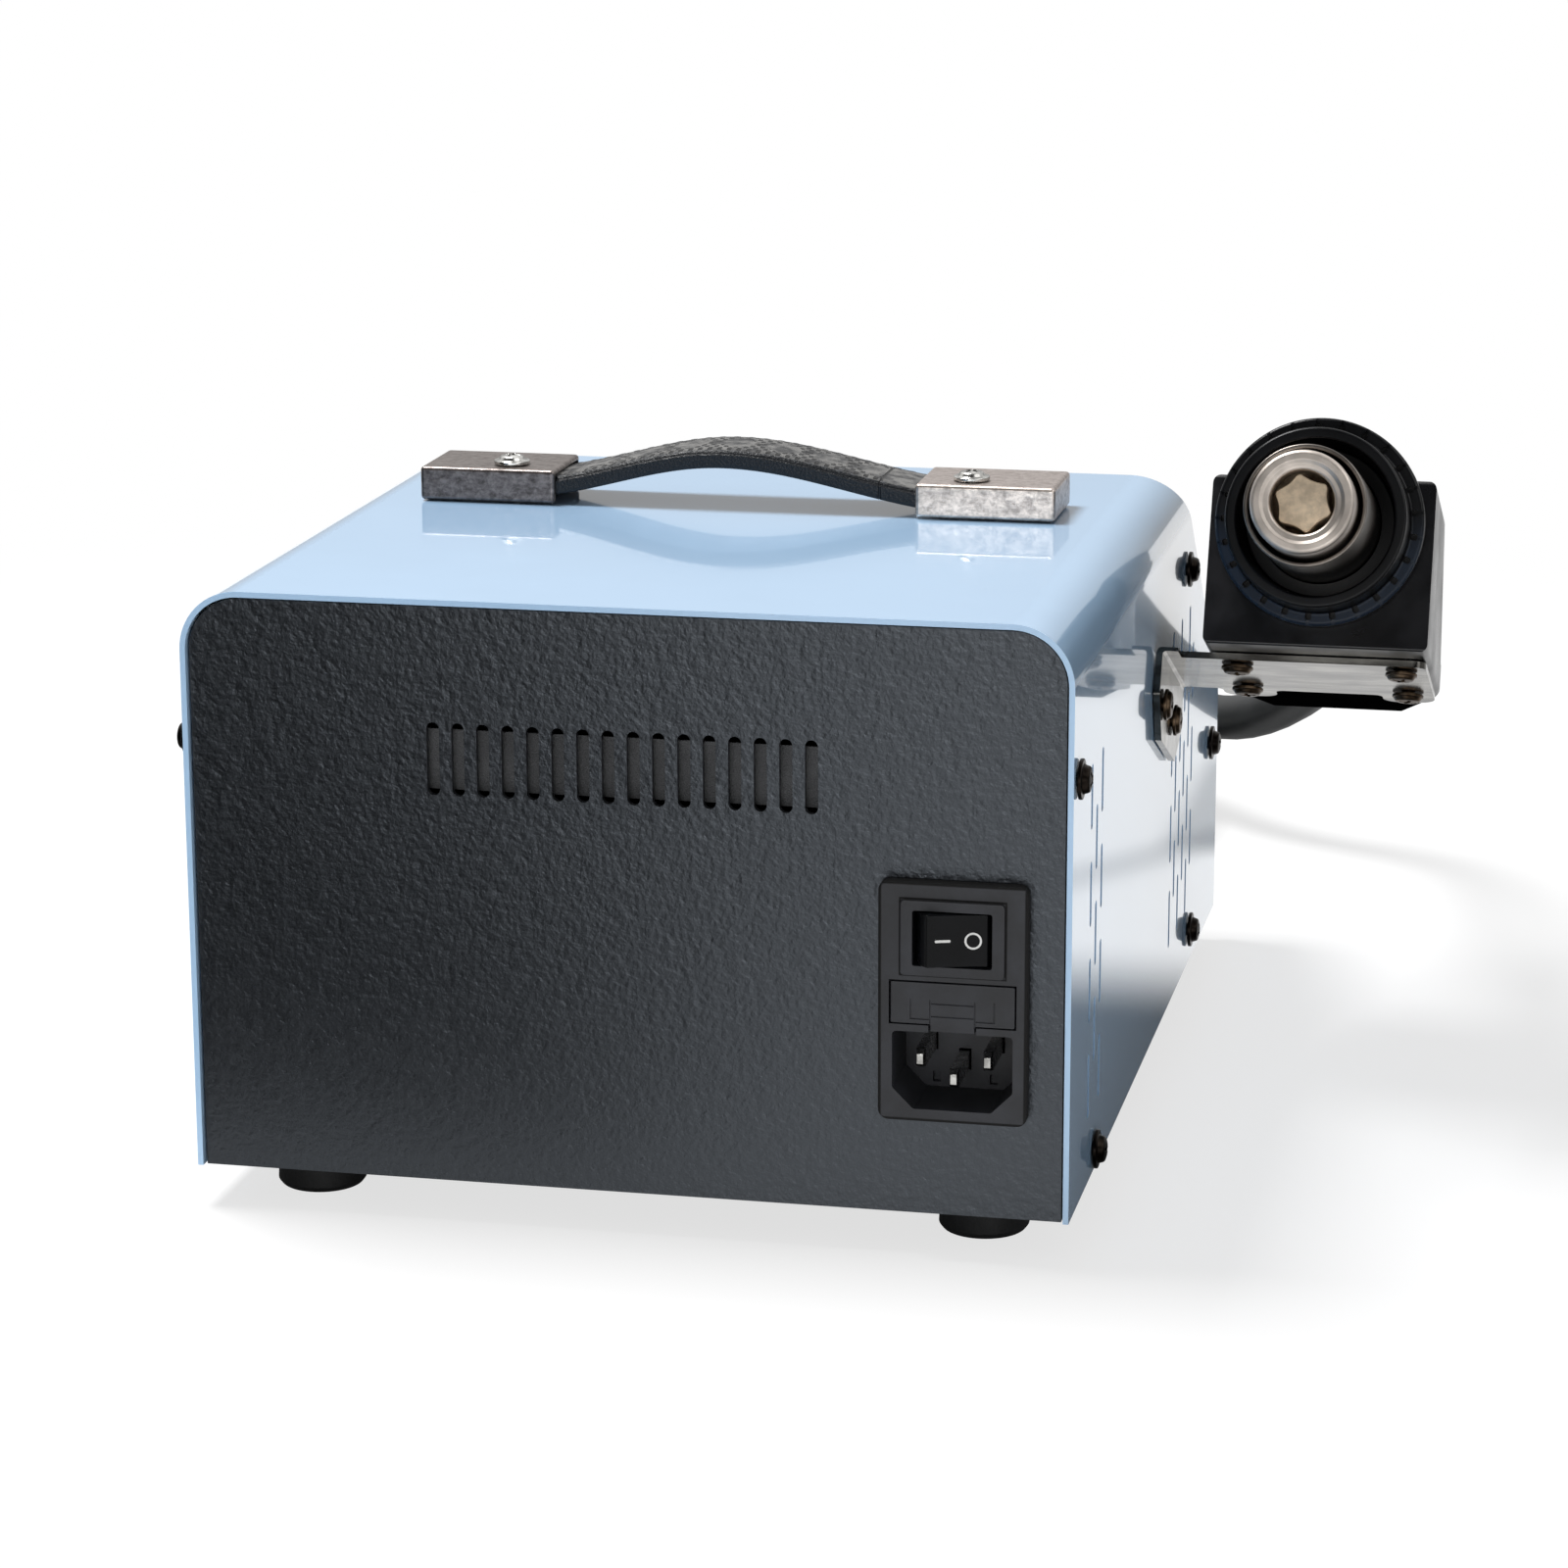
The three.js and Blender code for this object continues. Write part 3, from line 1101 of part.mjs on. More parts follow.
// The origin is the middle of the footprint of the station without its hose, on the bench
const bounds = new THREE.Box3().setFromObject(carried, true);
const middle = bounds.getCenter(new THREE.Vector3());
station.position.set(-middle.x, -middle.y, -bounds.min.z);

const coilLength = coilLine.slice(1).reduce((sum, p, i) => sum + p.distanceTo(coilLine[i]), 0);
console.log('least gap of the hose coil to itself, mm:', leastGap(coilLine).toFixed(2));
const hoseLength = coilLength + gunRun.curve.getLength() + stationRun.curve.getLength();
console.log('hose length, mm:', hoseLength.toFixed(0));

export default station;
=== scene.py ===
"""Looks of a bench-top hot air rework station, seen from behind, with its hot air gun in the side cradle.

Sizes in the maker functions are millimetres in the station's own frame: x across with the gun on the -x side,
y = 0 at the rear edge of the cover, and z = 0 on the bench. Every object is placed in metres.
"""

import math

import bmesh
import bpy
from bpy.props import FloatProperty, FloatVectorProperty, IntProperty, PointerProperty
from mathutils import Matrix, Vector
from mathutils.geometry import tessellate_polygon


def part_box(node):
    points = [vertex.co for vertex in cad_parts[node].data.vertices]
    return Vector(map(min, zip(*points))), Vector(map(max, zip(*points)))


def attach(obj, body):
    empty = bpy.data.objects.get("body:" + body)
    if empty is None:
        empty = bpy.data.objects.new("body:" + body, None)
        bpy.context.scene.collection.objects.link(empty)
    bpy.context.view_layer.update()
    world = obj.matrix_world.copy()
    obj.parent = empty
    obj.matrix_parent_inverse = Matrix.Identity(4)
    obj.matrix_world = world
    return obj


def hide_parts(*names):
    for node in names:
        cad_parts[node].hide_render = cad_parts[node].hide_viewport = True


bl_info = {
    "name": "Hot air rework station",
    "version": (1, 0, 0),
    "blender": (4, 5, 0),
    "location": "View3D > Sidebar > Station",
    "description": "Builds a hot air rework station with its gun, hose, cradle and stage",
    "category": "Object",
}

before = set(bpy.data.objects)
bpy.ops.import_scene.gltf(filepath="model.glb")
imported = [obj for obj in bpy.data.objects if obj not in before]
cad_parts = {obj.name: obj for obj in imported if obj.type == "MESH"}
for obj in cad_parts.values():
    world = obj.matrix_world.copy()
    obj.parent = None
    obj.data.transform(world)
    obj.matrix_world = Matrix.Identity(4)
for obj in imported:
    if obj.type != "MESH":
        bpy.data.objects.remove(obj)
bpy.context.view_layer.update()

MM = 0.001
COVER_LOW, COVER_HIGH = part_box("top_cover")
STATION = Matrix.Translation(((COVER_LOW.x + COVER_HIGH.x) / 2, COVER_HIGH.y, 0.0))

# Case
BASE = 9.0
TOP = BASE + 125.6
HALF_WIDTH = 94.0
DEPTH = 249.0
TOP_DEPTH = 171.0
STEP = BASE + 58.0
COVER_SHEET = 1.2
COVER_BEND = 12.8
REAR_INSET = 1.2
PANEL_SHEET = 1.5
FRONT_INSET = 1.0
SLOPE = math.atan2(TOP - STEP, DEPTH - TOP_DEPTH)
GAP = 0.3
PANEL_HALF = HALF_WIDTH - COVER_SHEET - GAP
FLANGE_LOW = BASE + 14.3
FLANGE_PLAY = 0.02
SCREW_HOLE = 2.0

# Mains inlet
INLET_X = -69.9
INLET_TOP = BASE + 71.9
INLET_WIDTH = 31.0
INLET_HEIGHT = 51.0
INLET_MIDDLE = INLET_TOP - INLET_HEIGHT / 2
INLET_FACE = 2.0
ROCKER_Z = INLET_TOP - 11.65
ROCKER_RISE = 4.9
ROCKER_DIP = 0.5
ROCKER_HALF = 6.2
ROCKER_TILT = 14.0
RIM_WIDTH = 21.6
RIM_HEIGHT = 15.9
DRAWER_Z = INLET_TOP - 25.6
DRAWER_SHEET = 2.4
SOCKET_Z = INLET_TOP - 40.05
PIN_PLACES = ((7, 2), (-7, 2), (0, -2))

# Handle
CAP_MOUTH = 41.6
CAP_END = 73.2
CAP_WIDTH = 23.0
CAP_WALL = 1.1
HANDLE_Y = -106.3 - CAP_WIDTH / 2
CAP_TOP = TOP + 8.0
CAP_SCREW_X = 53.3
CAP_SCREW_Y = 4.6
STRAP_LOW = TOP + 2.2
STRAP_RISE = 7.4
STRAP_CROWN = 3.0

# Bracket, cradle and gun
BRACKET_SHEET = 1.5
SHELF_TILT = 23.7
SHELF_Y = -128.8
SHELF_Z = BASE + 91.6
GUN_TILT = 16.3
GUN_Y = -125.1645
GUN_Z = 133.8172
CRADLE_X = -130.0
SHELF_SCREW_ROWS = (6.5, 31.8)
CRADLE_SCREW_SPREAD = 18.6
HANDLE_FRONT = -4.3
BOOT_LENGTH = 21.7
BOOT_END = HANDLE_FRONT - 136.0

# Hose, in station millimetres
GLAND = Vector((57.5, -267.3, 20.0))
COIL_CENTRE = (-5.0, -352.3)


def moved(x, y, z):
    return Matrix.Translation(Vector((x, y, z)) * MM)


def turned_by(angle, x, y, z):
    return STATION @ moved(x, y, z) @ Matrix.Rotation(math.radians(angle), 4, "X")


def carried(source, target=STATION):
    """From one frame into another, both in millimetres."""
    step = target.inverted() @ source
    step.translation = step.translation / MM
    return step


SHELF = turned_by(SHELF_TILT, 0, SHELF_Y, SHELF_Z)
GUN = turned_by(GUN_TILT - 90, CRADLE_X, GUN_Y, GUN_Z)
PANEL_SLOPE = turned_by(math.degrees(SLOPE), 0, -DEPTH, STEP)


# Settings that a user would change


class CaseSettings(bpy.types.PropertyGroup):
    sheet: FloatProperty(
        name="Sheet", description="Thickness of the cover's sheet", default=COVER_SHEET * MM, unit="LENGTH")
    bend: FloatProperty(
        name="Bend", description="Outer radius of the cover's long bends", default=COVER_BEND * MM,
        unit="LENGTH")
    slot_width: FloatProperty(
        name="Slot width", description="Width of a side vent slot", default=0.0024, unit="LENGTH")
    slot_height: FloatProperty(
        name="Slot height", description="Height of a side vent slot", default=0.014, unit="LENGTH")
    rear_slots: IntProperty(
        name="Rear slots", description="Number of vent slots in the rear panel", default=16)
    cover_colour: FloatVectorProperty(
        name="Cover", description="Paint of the cover", default=(0.47, 0.69, 0.95), size=3, subtype="COLOR")
    panel_colour: FloatVectorProperty(
        name="Panels", description="Coating of the black panels", default=(0.0105, 0.0115, 0.0145), size=3,
        subtype="COLOR")


class HandleSettings(bpy.types.PropertyGroup):
    strap_width: FloatProperty(
        name="Strap width", description="Width of the carrying strap", default=0.0202, unit="LENGTH")
    strap_thickness: FloatProperty(
        name="Strap thickness", description="Thickness of the strap at its crown", default=0.0044,
        unit="LENGTH")
    stitch_pitch: FloatProperty(
        name="Stitch pitch", description="Distance from stitch to stitch", default=0.0034, unit="LENGTH")
    pattern_pitch: FloatProperty(
        name="Pattern pitch", description="Distance from pit to pit of the pressed pattern", default=0.0107,
        unit="LENGTH")


class GunSettings(bpy.types.PropertyGroup):
    lobes: IntProperty(
        name="Lobes", description="Number of lobes of the ceramic core", default=6)
    notches: IntProperty(
        name="Notches", description="Number of notches round the collar", default=25)
    steel_colour: FloatVectorProperty(
        name="Heater steel", description="Steel of the heater tube and nozzle", default=(0.45, 0.405, 0.365),
        size=3, subtype="COLOR")
    ceramic_colour: FloatVectorProperty(
        name="Ceramic", description="Colour of the ceramic core", default=(0.7, 0.56, 0.4), size=3,
        subtype="COLOR")


class HoseSettings(bpy.types.PropertyGroup):
    diameter: FloatProperty(
        name="Diameter", description="Outer diameter of the hose", default=0.0125, unit="LENGTH")
    coil_radius: FloatProperty(
        name="Coil radius", description="Radius of the coil at the middle of the hose", default=0.0625,
        unit="LENGTH")
    coil_pitch: FloatProperty(
        name="Coil pitch", description="Height from turn to turn", default=0.0131, unit="LENGTH")


class StageSettings(bpy.types.PropertyGroup):
    key_power: FloatProperty(
        name="Key lamp", description="Power of the soft lamp above", default=31.0, unit="POWER")
    sheen_power: FloatProperty(
        name="Sheen lamp", description="Power of the soft lamp beside the camera", default=1.9, unit="POWER")
    world_light: FloatProperty(
        name="World light", description="Strength of the even light from all round", default=0.3)
    dark_side: FloatProperty(
        name="Dark side", description="Brightness that mirrors see behind the camera", default=0.02)
    card: FloatProperty(
        name="Card", description="Brightness that mirrors see low behind the camera", default=1.8)
    softbox: FloatProperty(
        name="Softbox", description="Brightness that mirrors see high beside the camera", default=2.3)


SETTINGS = {
    "station_case": CaseSettings,
    "station_handle": HandleSettings,
    "station_gun": GunSettings,
    "station_hose": HoseSettings,
    "station_stage": StageSettings,
}


def chosen(name):
    return getattr(bpy.context.scene, f"station_{name}")


# Outlines


def rounded(points, radius=0.0, steps=4, closed=True):
    """The corners of a polyline rounded off; a point may carry its own radius as a third number."""
    result = []
    count = len(points)
    for i, point in enumerate(points):
        here = Vector(point[:2])
        size = point[2] if len(point) > 2 else radius
        if size <= 0 or (not closed and i in (0, count - 1)):
            result.append(tuple(here))
            continue
        before = Vector(points[i - 1][:2]) - here
        after = Vector(points[(i + 1) % count][:2]) - here
        angle = before.angle(after)
        if angle > math.pi - 0.01:
            result.append(tuple(here))
            continue
        reach = min(size / math.tan(angle / 2), 0.49 * before.length, 0.49 * after.length)
        size = reach * math.tan(angle / 2)
        before.normalize()
        after.normalize()
        middle = here + (before + after).normalized() * (size / math.sin(angle / 2))
        start = here + before * reach - middle
        end = here + after * reach - middle
        first = math.atan2(start.y, start.x)
        sweep = (math.atan2(end.y, end.x) - first + math.pi) % (2 * math.pi) - math.pi
        for k in range(steps + 1):
            turn = first + sweep * k / steps
            result.append((middle.x + size * math.cos(turn), middle.y + size * math.sin(turn)))
    return result


def oblong(width, height, radius, u=0.0, v=0.0, steps=5):
    w, h = width / 2, height / 2
    corners = [(u - w, v - h), (u + w, v - h), (u + w, v + h), (u - w, v + h)]
    return rounded(corners, min(radius, 0.495 * min(width, height)), steps)


def disc(radius, u=0.0, v=0.0, steps=32):
    turns = [2 * math.pi * k / steps for k in range(steps)]
    return [(u + radius * math.cos(turn), v + radius * math.sin(turn)) for turn in turns]


def screw_hole(u, v, steps=20):
    return disc(SCREW_HOLE, u, v, steps)


def cross(arm, half):
    """A plus sign, as four like corners."""
    outline = [(-half, -arm), (half, -arm), (half, -half)]
    for _ in range(3):
        outline += [(-v, u) for u, v in outline[-3:]]
    return outline


def arch(half, bottom, top, radius, steps=16):
    return rounded(
        [(-half, bottom), (half, bottom), (half, top, radius), (-half, top, radius)], 0.0, steps)


# Meshes, in millimetres


def solid(points, faces, flat=False):
    mesh = bpy.data.meshes.new("solid")
    build = bmesh.new()
    corners = [build.verts.new(point) for point in points]
    for face in faces:
        build.faces.new([corners[i] for i in face])
    bmesh.ops.remove_doubles(build, verts=build.verts, dist=1e-4)
    if flat:
        bmesh.ops.dissolve_limit(build, angle_limit=math.radians(0.2), verts=build.verts, edges=build.edges)
    bmesh.ops.recalc_face_normals(build, faces=build.faces)
    build.to_mesh(mesh)
    build.free()
    return mesh


def prism(outline, low, high, axis="z", holes=()):
    """A flat outline with holes, raised along an axis. It is drawn in (y, z), (x, z) or (x, y)."""
    place = {
        "x": lambda u, v, w: (w, u, v),
        "y": lambda u, v, w: (u, w, v),
        "z": lambda u, v, w: (u, v, w),
    }[axis]
    loops = [list(outline), *[list(hole) for hole in holes]]
    flat = [point for loop in loops for point in loop]
    count = len(flat)
    triangles = tessellate_polygon([[Vector((u, v, 0)) for u, v in loop] for loop in loops])
    points = [place(u, v, low) for u, v in flat] + [place(u, v, high) for u, v in flat]
    faces = [tuple(t) for t in triangles] + [tuple(i + count for i in t) for t in triangles]
    start = 0
    for loop in loops:
        for i in range(len(loop)):
            a, b = start + i, start + (i + 1) % len(loop)
            faces.append((a, b, b + count, a + count))
        start += len(loop)
    return solid(points, faces, flat=True)


def block(x0, x1, y0, y1, z0, z1):
    return prism([(x0, y0), (x1, y0), (x1, y1), (x0, y1)], z0, z1)


def middle_block(x, half, y0, y1, z0, z1):
    return block(x - half, x + half, y0, y1, z0, z1)


def turned(profile, sides=64):
    """A profile of (radius, height) pairs turned about z. It ends on the axis or joins up with itself."""
    points, rows, faces = [], [], []
    for radius, height in profile:
        if radius < 1e-6:
            rows.append([len(points)])
            points.append((0, 0, height))
        else:
            rows.append([len(points) + k for k in range(sides)])
            points += [(u, v, height) for u, v in disc(radius, steps=sides)]
    pairs = list(zip(rows, rows[1:]))
    if profile[0][0] > 1e-6:
        pairs.append((rows[-1], rows[0]))
    for a, b in pairs:
        for k in range(sides):
            n = (k + 1) % sides
            if len(a) == 1 and len(b) > 1:
                faces.append((a[0], b[k], b[n]))
            elif len(b) == 1 and len(a) > 1:
                faces.append((a[k], a[n], b[0]))
            elif len(a) > 1:
                faces.append((a[k], a[n], b[n], b[k]))
    return solid(points, faces)


def lathed(profile, sides, steps=4):
    """A profile from axis to axis, with its marked corners rounded."""
    return turned(rounded(profile, 0.0, steps, closed=False), sides)


def swept(sections):
    """A closed skin over a row of like sections, each a list of points."""
    count = len(sections[0])
    points = [point for section in sections for point in section]
    faces = []
    for row in range(len(sections) - 1):
        for k in range(count):
            n = (k + 1) % count
            a, b = row * count, (row + 1) * count
            faces.append((a + k, a + n, b + n, b + k))
    last = (len(sections) - 1) * count
    faces += [tuple(range(count)), tuple(range(last, last + count))]
    return solid(points, faces)


def gathered(placed):
    """Copies of meshes, each with its matrix, in one mesh."""
    build = bmesh.new()
    for mesh, matrix in placed:
        copy = mesh.copy()
        copy.transform(matrix)
        build.from_mesh(copy)
        bpy.data.meshes.remove(copy)
    bmesh.ops.recalc_face_normals(build, faces=build.faces)
    result = bpy.data.meshes.new("gathered")
    build.to_mesh(result)
    build.free()
    return result


def together(*meshes):
    return gathered([(mesh, Matrix.Identity(4)) for mesh in meshes])


def ringed(mesh, count):
    """Copies of a mesh, evenly round z."""
    return gathered([(mesh, Matrix.Rotation(2 * math.pi * k / count, 4, "Z")) for k in range(count)])


def evaluated(mesh, add_modifiers):
    body = bpy.data.objects.new("making", mesh)
    bpy.context.scene.collection.objects.link(body)
    helpers = add_modifiers(body) or []
    graph = bpy.context.evaluated_depsgraph_get()
    result = bpy.data.meshes.new_from_object(body.evaluated_get(graph), depsgraph=graph)
    for helper in [body, *helpers]:
        bpy.data.objects.remove(helper)
    return result


def combined(mesh, others, how="DIFFERENCE"):
    def add(body):
        helpers = []
        for other in others:
            helper = bpy.data.objects.new("cutter", other)
            bpy.context.scene.collection.objects.link(helper)
            step = body.modifiers.new("combine", "BOOLEAN")
            step.operation = how
            step.solver = "EXACT"
            step.object = helper
            helpers.append(helper)
        return helpers

    result = evaluated(mesh, add)
    build = bmesh.new()
    build.from_mesh(result)
    bmesh.ops.remove_doubles(build, verts=build.verts, dist=1e-3)
    bmesh.ops.dissolve_degenerate(build, edges=build.edges, dist=1e-3)
    build.to_mesh(result)
    build.free()
    return result


def softened(mesh, width, segments=2, angle=38.0):
    """Edges sharper than the angle get a small round."""
    def add(body):
        step = body.modifiers.new("soften", "BEVEL")
        step.width = width
        step.segments = segments
        step.limit_method = "ANGLE"
        step.angle_limit = math.radians(angle)
        step.use_clamp_overlap = True

    return evaluated(mesh, add)


def pointing(at, direction):
    turn = Vector((0, 0, 1)).rotation_difference(Vector(direction)).to_matrix().to_4x4()
    return Matrix.Translation(at) @ turn


def show(name, mesh, finish, body="station", nodes=(), at=STATION, smooth=34.0):
    """A finished piece: its mesh in metres, its finish, and the body that it rides on."""
    mesh.transform(Matrix.Scale(MM, 4))
    for polygon in mesh.polygons:
        polygon.use_smooth = True
    mesh.set_sharp_from_angle(angle=math.radians(smooth))

    def add(body_object):
        step = body_object.modifiers.new("normals", "WEIGHTED_NORMAL")
        step.keep_sharp = True

    mesh = evaluated(mesh, add)
    mesh.name = name
    mesh.materials.clear()
    mesh.materials.append(finish)
    piece = bpy.data.objects.new(name, mesh)
    bpy.context.scene.collection.objects.link(piece)
    piece.matrix_world = at
    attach(piece, body)
    if nodes:
        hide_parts(*nodes)


# Finishes


def tint(code):
    """A colour written as on screen, such as 9fc6ea, in the light units that shaders use."""
    parts = [int(code[i:i + 2], 16) / 255 for i in (0, 2, 4)]
    return tuple(p / 12.92 if p <= 0.04045 else ((p + 0.055) / 1.055) ** 2.4 for p in parts)


def scaled(colour, factor):
    return tuple(min(1.0, part * factor) for part in colour[:3])


def opaque(colour):
    return (*colour[:3], 1.0)


class Flow:
    """What one node hands to the next, with sums written as sums."""

    def __init__(self, finish, socket):
        self.finish = finish
        self.socket = socket

    def maths(self, operation, left, right=0.0):
        return self.finish.flow("ShaderNodeMath", {"operation": operation}, {0: left, 1: right})

    def __add__(self, other):
        return self.maths("ADD", self, other)

    def __radd__(self, other):
        return self.maths("ADD", other, self)

    def __sub__(self, other):
        return self.maths("SUBTRACT", self, other)

    def __rsub__(self, other):
        return self.maths("SUBTRACT", other, self)

    def __mul__(self, other):
        return self.maths("MULTIPLY", self, other)

    def __rmul__(self, other):
        return self.maths("MULTIPLY", other, self)

    def __abs__(self):
        return self.maths("ABSOLUTE", self)

    def sine(self):
        return self.maths("SINE", self)

    def cosine(self):
        return self.maths("COSINE", self)

    def over(self, low, high, start=0.0, end=1.0):
        return self.finish.flow(
            "ShaderNodeMapRange", {"interpolation_type": "SMOOTHSTEP"},
            {"Value": self, "From Min": low, "From Max": high, "To Min": start, "To Max": end})


class Finish:
    """A material with one main shader, and short ways to the textures that feed it."""

    def __init__(self, name, sockets):
        self.material = bpy.data.materials.new(name)
        self.material.use_nodes = True
        self.tree = self.material.node_tree
        self.tree.nodes.clear()
        self.shader = self.node("ShaderNodeBsdfPrincipled", sockets=sockets)
        self.node("ShaderNodeOutputMaterial", sockets={"Surface": Flow(self, self.shader.outputs[0])})
        self.place = self.flow("ShaderNodeTexCoord", output="Object")

    def node(self, kind, settings=None, sockets=None):
        node = self.tree.nodes.new(kind)
        for key, value in (settings or {}).items():
            if key == "stops":
                self.set_stops(node.color_ramp.elements, value)
            else:
                setattr(node, key, value)
        for key, value in (sockets or {}).items():
            self.feed(node.inputs[key], value)
        return node

    def feed(self, socket, value):
        if isinstance(value, Flow):
            self.tree.links.new(value.socket, socket)
        elif socket.type == "RGBA":
            socket.default_value = opaque(value)
        else:
            socket.default_value = value

    @staticmethod
    def set_stops(elements, stops):
        while len(elements) < len(stops):
            elements.new(1.0)
        for element, (position, colour) in zip(elements, stops):
            element.position = position
            element.color = opaque(colour)

    def flow(self, kind, settings=None, sockets=None, output=0):
        return Flow(self, self.node(kind, settings, sockets).outputs[output])

    def give(self, **sockets):
        for key, value in sockets.items():
            self.feed(self.shader.inputs[key.replace("_", " ")], value)

    def stretched(self, stretch):
        return self.flow("ShaderNodeMapping", sockets={"Vector": self.place, "Scale": stretch})

    def noise(self, scale, detail=2.0, roughness=0.5, stretch=None, distortion=0.0):
        where = self.stretched(stretch) if stretch else self.place
        return self.flow("ShaderNodeTexNoise", sockets={
            "Vector": where, "Scale": scale, "Detail": detail, "Roughness": roughness,
            "Distortion": distortion})

    def axes(self):
        node = self.node("ShaderNodeSeparateXYZ", sockets={0: self.place})
        return [Flow(self, output) for output in node.outputs]

    def blend(self, factor, first, second):
        node = self.node("ShaderNodeMix", {"data_type": "RGBA"}, {0: factor, 6: first, 7: second})
        return Flow(self, node.outputs[2])

    def mottled(self, pattern, dark, light):
        return self.blend(pattern, tint(dark), tint(light))

    def wear(self):
        return self.noise(70.0, 5.0, 0.6)

    def grey(self, value):
        return self.flow("ShaderNodeCombineColor", sockets={0: value, 1: value, 2: value})

    def bump(self, height, distance, strength=1.0):
        self.give(Normal=self.flow("ShaderNodeBump", sockets={
            "Height": height, "Distance": distance, "Strength": strength}))


def cover_paint():
    paint = Finish("cover_paint", {
        "Coat Weight": 1.0, "Coat Roughness": 0.03, "Specular IOR Level": 0.5})
    colour = chosen("case").cover_colour
    drift = paint.noise(14.0, 3.0)
    paint.give(
        Base_Color=paint.blend(drift.over(0.3, 0.7), scaled(colour, 0.975), scaled(colour, 1.02)),
        Roughness=0.12 + 0.06 * paint.noise(60.0, 4.0))
    paint.bump(paint.noise(240.0, 0.0), 0.000006, 0.12)
    return paint.material


def panel_coat():
    coat = Finish("panel_coat", {"Specular IOR Level": 1.0, "Specular Tint": (0.82, 0.9, 1.0)})
    colour = chosen("case").panel_colour
    grain = coat.noise(760.0, 3.0, 0.6)
    swell = coat.noise(420.0, 1.0)
    coat.give(
        Base_Color=coat.blend(grain.over(0.35, 0.68), scaled(colour, 0.4), scaled(colour, 0.75)),
        Roughness=0.3 + 0.12 * swell)
    coat.bump(0.55 * grain + 0.45 * swell, 0.00034, 0.9)
    return coat.material


def moulding(name, dark, light, low, high, grain=1500.0, depth=0.00003, strength=0.4, gloss=0.5):
    """Moulded plastic or rubber, with a fine grain and a little wear in its gloss."""
    stuff = Finish(name, {"Specular IOR Level": gloss})
    wear = stuff.wear()
    stuff.give(
        Base_Color=stuff.mottled(wear.over(0.35, 0.7), dark, light),
        Roughness=low + (high - low) * wear.over(0.3, 0.75))
    stuff.bump(stuff.noise(grain, 2.0), depth, strength)
    return stuff.material


def strap_cover():
    """A dark edge; on top a worn field with painted sheen, pits and dimples in painted shade, and plain
    lozenges.
    """
    rubber = Finish("strap_cover", {"Specular IOR Level": 0.28})
    x, y, _ = rubber.axes()
    first_pit, seam_at, field_end = 0.00115, -0.0333, 0.0354
    border, edge = 0.008, 0.0088
    between = 0.5 + 0.5 * ((x - first_pit) * (2 * math.pi / chosen("handle").pattern_pitch)).cosine()
    row = abs(y)
    blur = 0.0002
    length = x.over(seam_at - blur, seam_at + blur) * x.over(field_end - blur, field_end + blur, 1.0, 0.0)
    field = row.over(border - 0.0002, border + 0.0003, 1.0, 0.0) * length
    pit = between.over(0.0, 0.26, 1.0, 0.0) * row.over(0.0004, 0.0011, 1.0, 0.0)
    lozenge = (row - 0.0046 * between).over(0.0008, 0.0014)
    dimple = ((x * 2800.0).sine() * (y * 1500.0).sine()).over(0.0, 0.3) * lozenge
    seam = abs(x - seam_at).over(0.0001, 0.0004, 1.0, 0.0)
    # Painted shade: the pressed pits and dimples are darkened; the seam is a dark joint.
    dark = ((pit + dimple) * field + seam).over(0.0, 1.0)
    top = row.over(edge - 0.0004, edge + 0.0004, 1.0, 0.0)
    grain = rubber.noise(1800.0, 2.0)
    # Painted sheen: the top field is much lighter than the dark edge, and mottled with wear.
    wear_and_sheen = rubber.mottled(rubber.noise(260.0, 5.0, 0.6).over(0.35, 0.65), "1f2023", "6f6e6c")
    rubber.give(
        Base_Color=rubber.blend(top, tint("111418"), rubber.blend(dark, wear_and_sheen, tint("08080a"))),
        Roughness=0.3 + 0.16 * grain)
    ridges = (x * 3600.0).sine() * x.over(field_end - 0.0002, field_end + 0.0006) * top
    rubber.bump(0.15 * grain + 0.3 * ridges - dark, 0.0008, 1.0)
    return rubber.material


def mottled_metal():
    """Worn plating, brownish on top; the cap on +x has painted shade: duller on top, dark on its rear side.
    """
    metal = Finish("mottled_metal", {"Metallic": 1.0})
    x, y, _ = metal.axes()
    patches = metal.noise(640.0, 8.0, 0.7, distortion=0.3)
    strokes = metal.noise(700.0, 5.0, 0.6, stretch=(0.5, 1.0, 1.2))
    shade = (0.6 * patches + 0.4 * strokes).over(0.34, 0.66)
    cap_face = CAP_WIDTH / 2 * MM - 0.0004
    rear = y.over(cap_face - 0.0002, cap_face + 0.0002)
    # Painted shade: the cap on +x is darker on top and darker still on its rear side.
    far = x.over(-0.01, 0.01)
    top = metal.blend(
        far, metal.mottled(shade, "958b86", "d0c5bf"), metal.mottled(shade, "665f5c", "968d88"))
    face = metal.blend(
        far, metal.mottled(shade, "958c85", "d8cdc3"), metal.mottled(shade, "45403f", "7d7674"))
    metal.give(Base_Color=metal.blend(rear, top, face), Roughness=0.46 - 0.14 * shade)
    metal.bump(0.5 * strokes + 0.5 * patches, 0.0001, 0.45)
    return metal.material


def polished_steel():
    steel = Finish("polished_steel", {"Metallic": 1.0})
    streaks = steel.noise(60.0, 6.0, 0.65, stretch=(0.6, 3.0, 3.0))
    haze = steel.noise(45.0, 5.0)
    steel.give(
        Base_Color=steel.mottled((0.5 * streaks + 0.5 * haze).over(0.38, 0.64), "43413e", "9f9d97"),
        Roughness=0.12 + 0.16 * haze.over(0.35, 0.75))
    steel.bump(streaks, 0.00005, 0.35)
    return steel.material


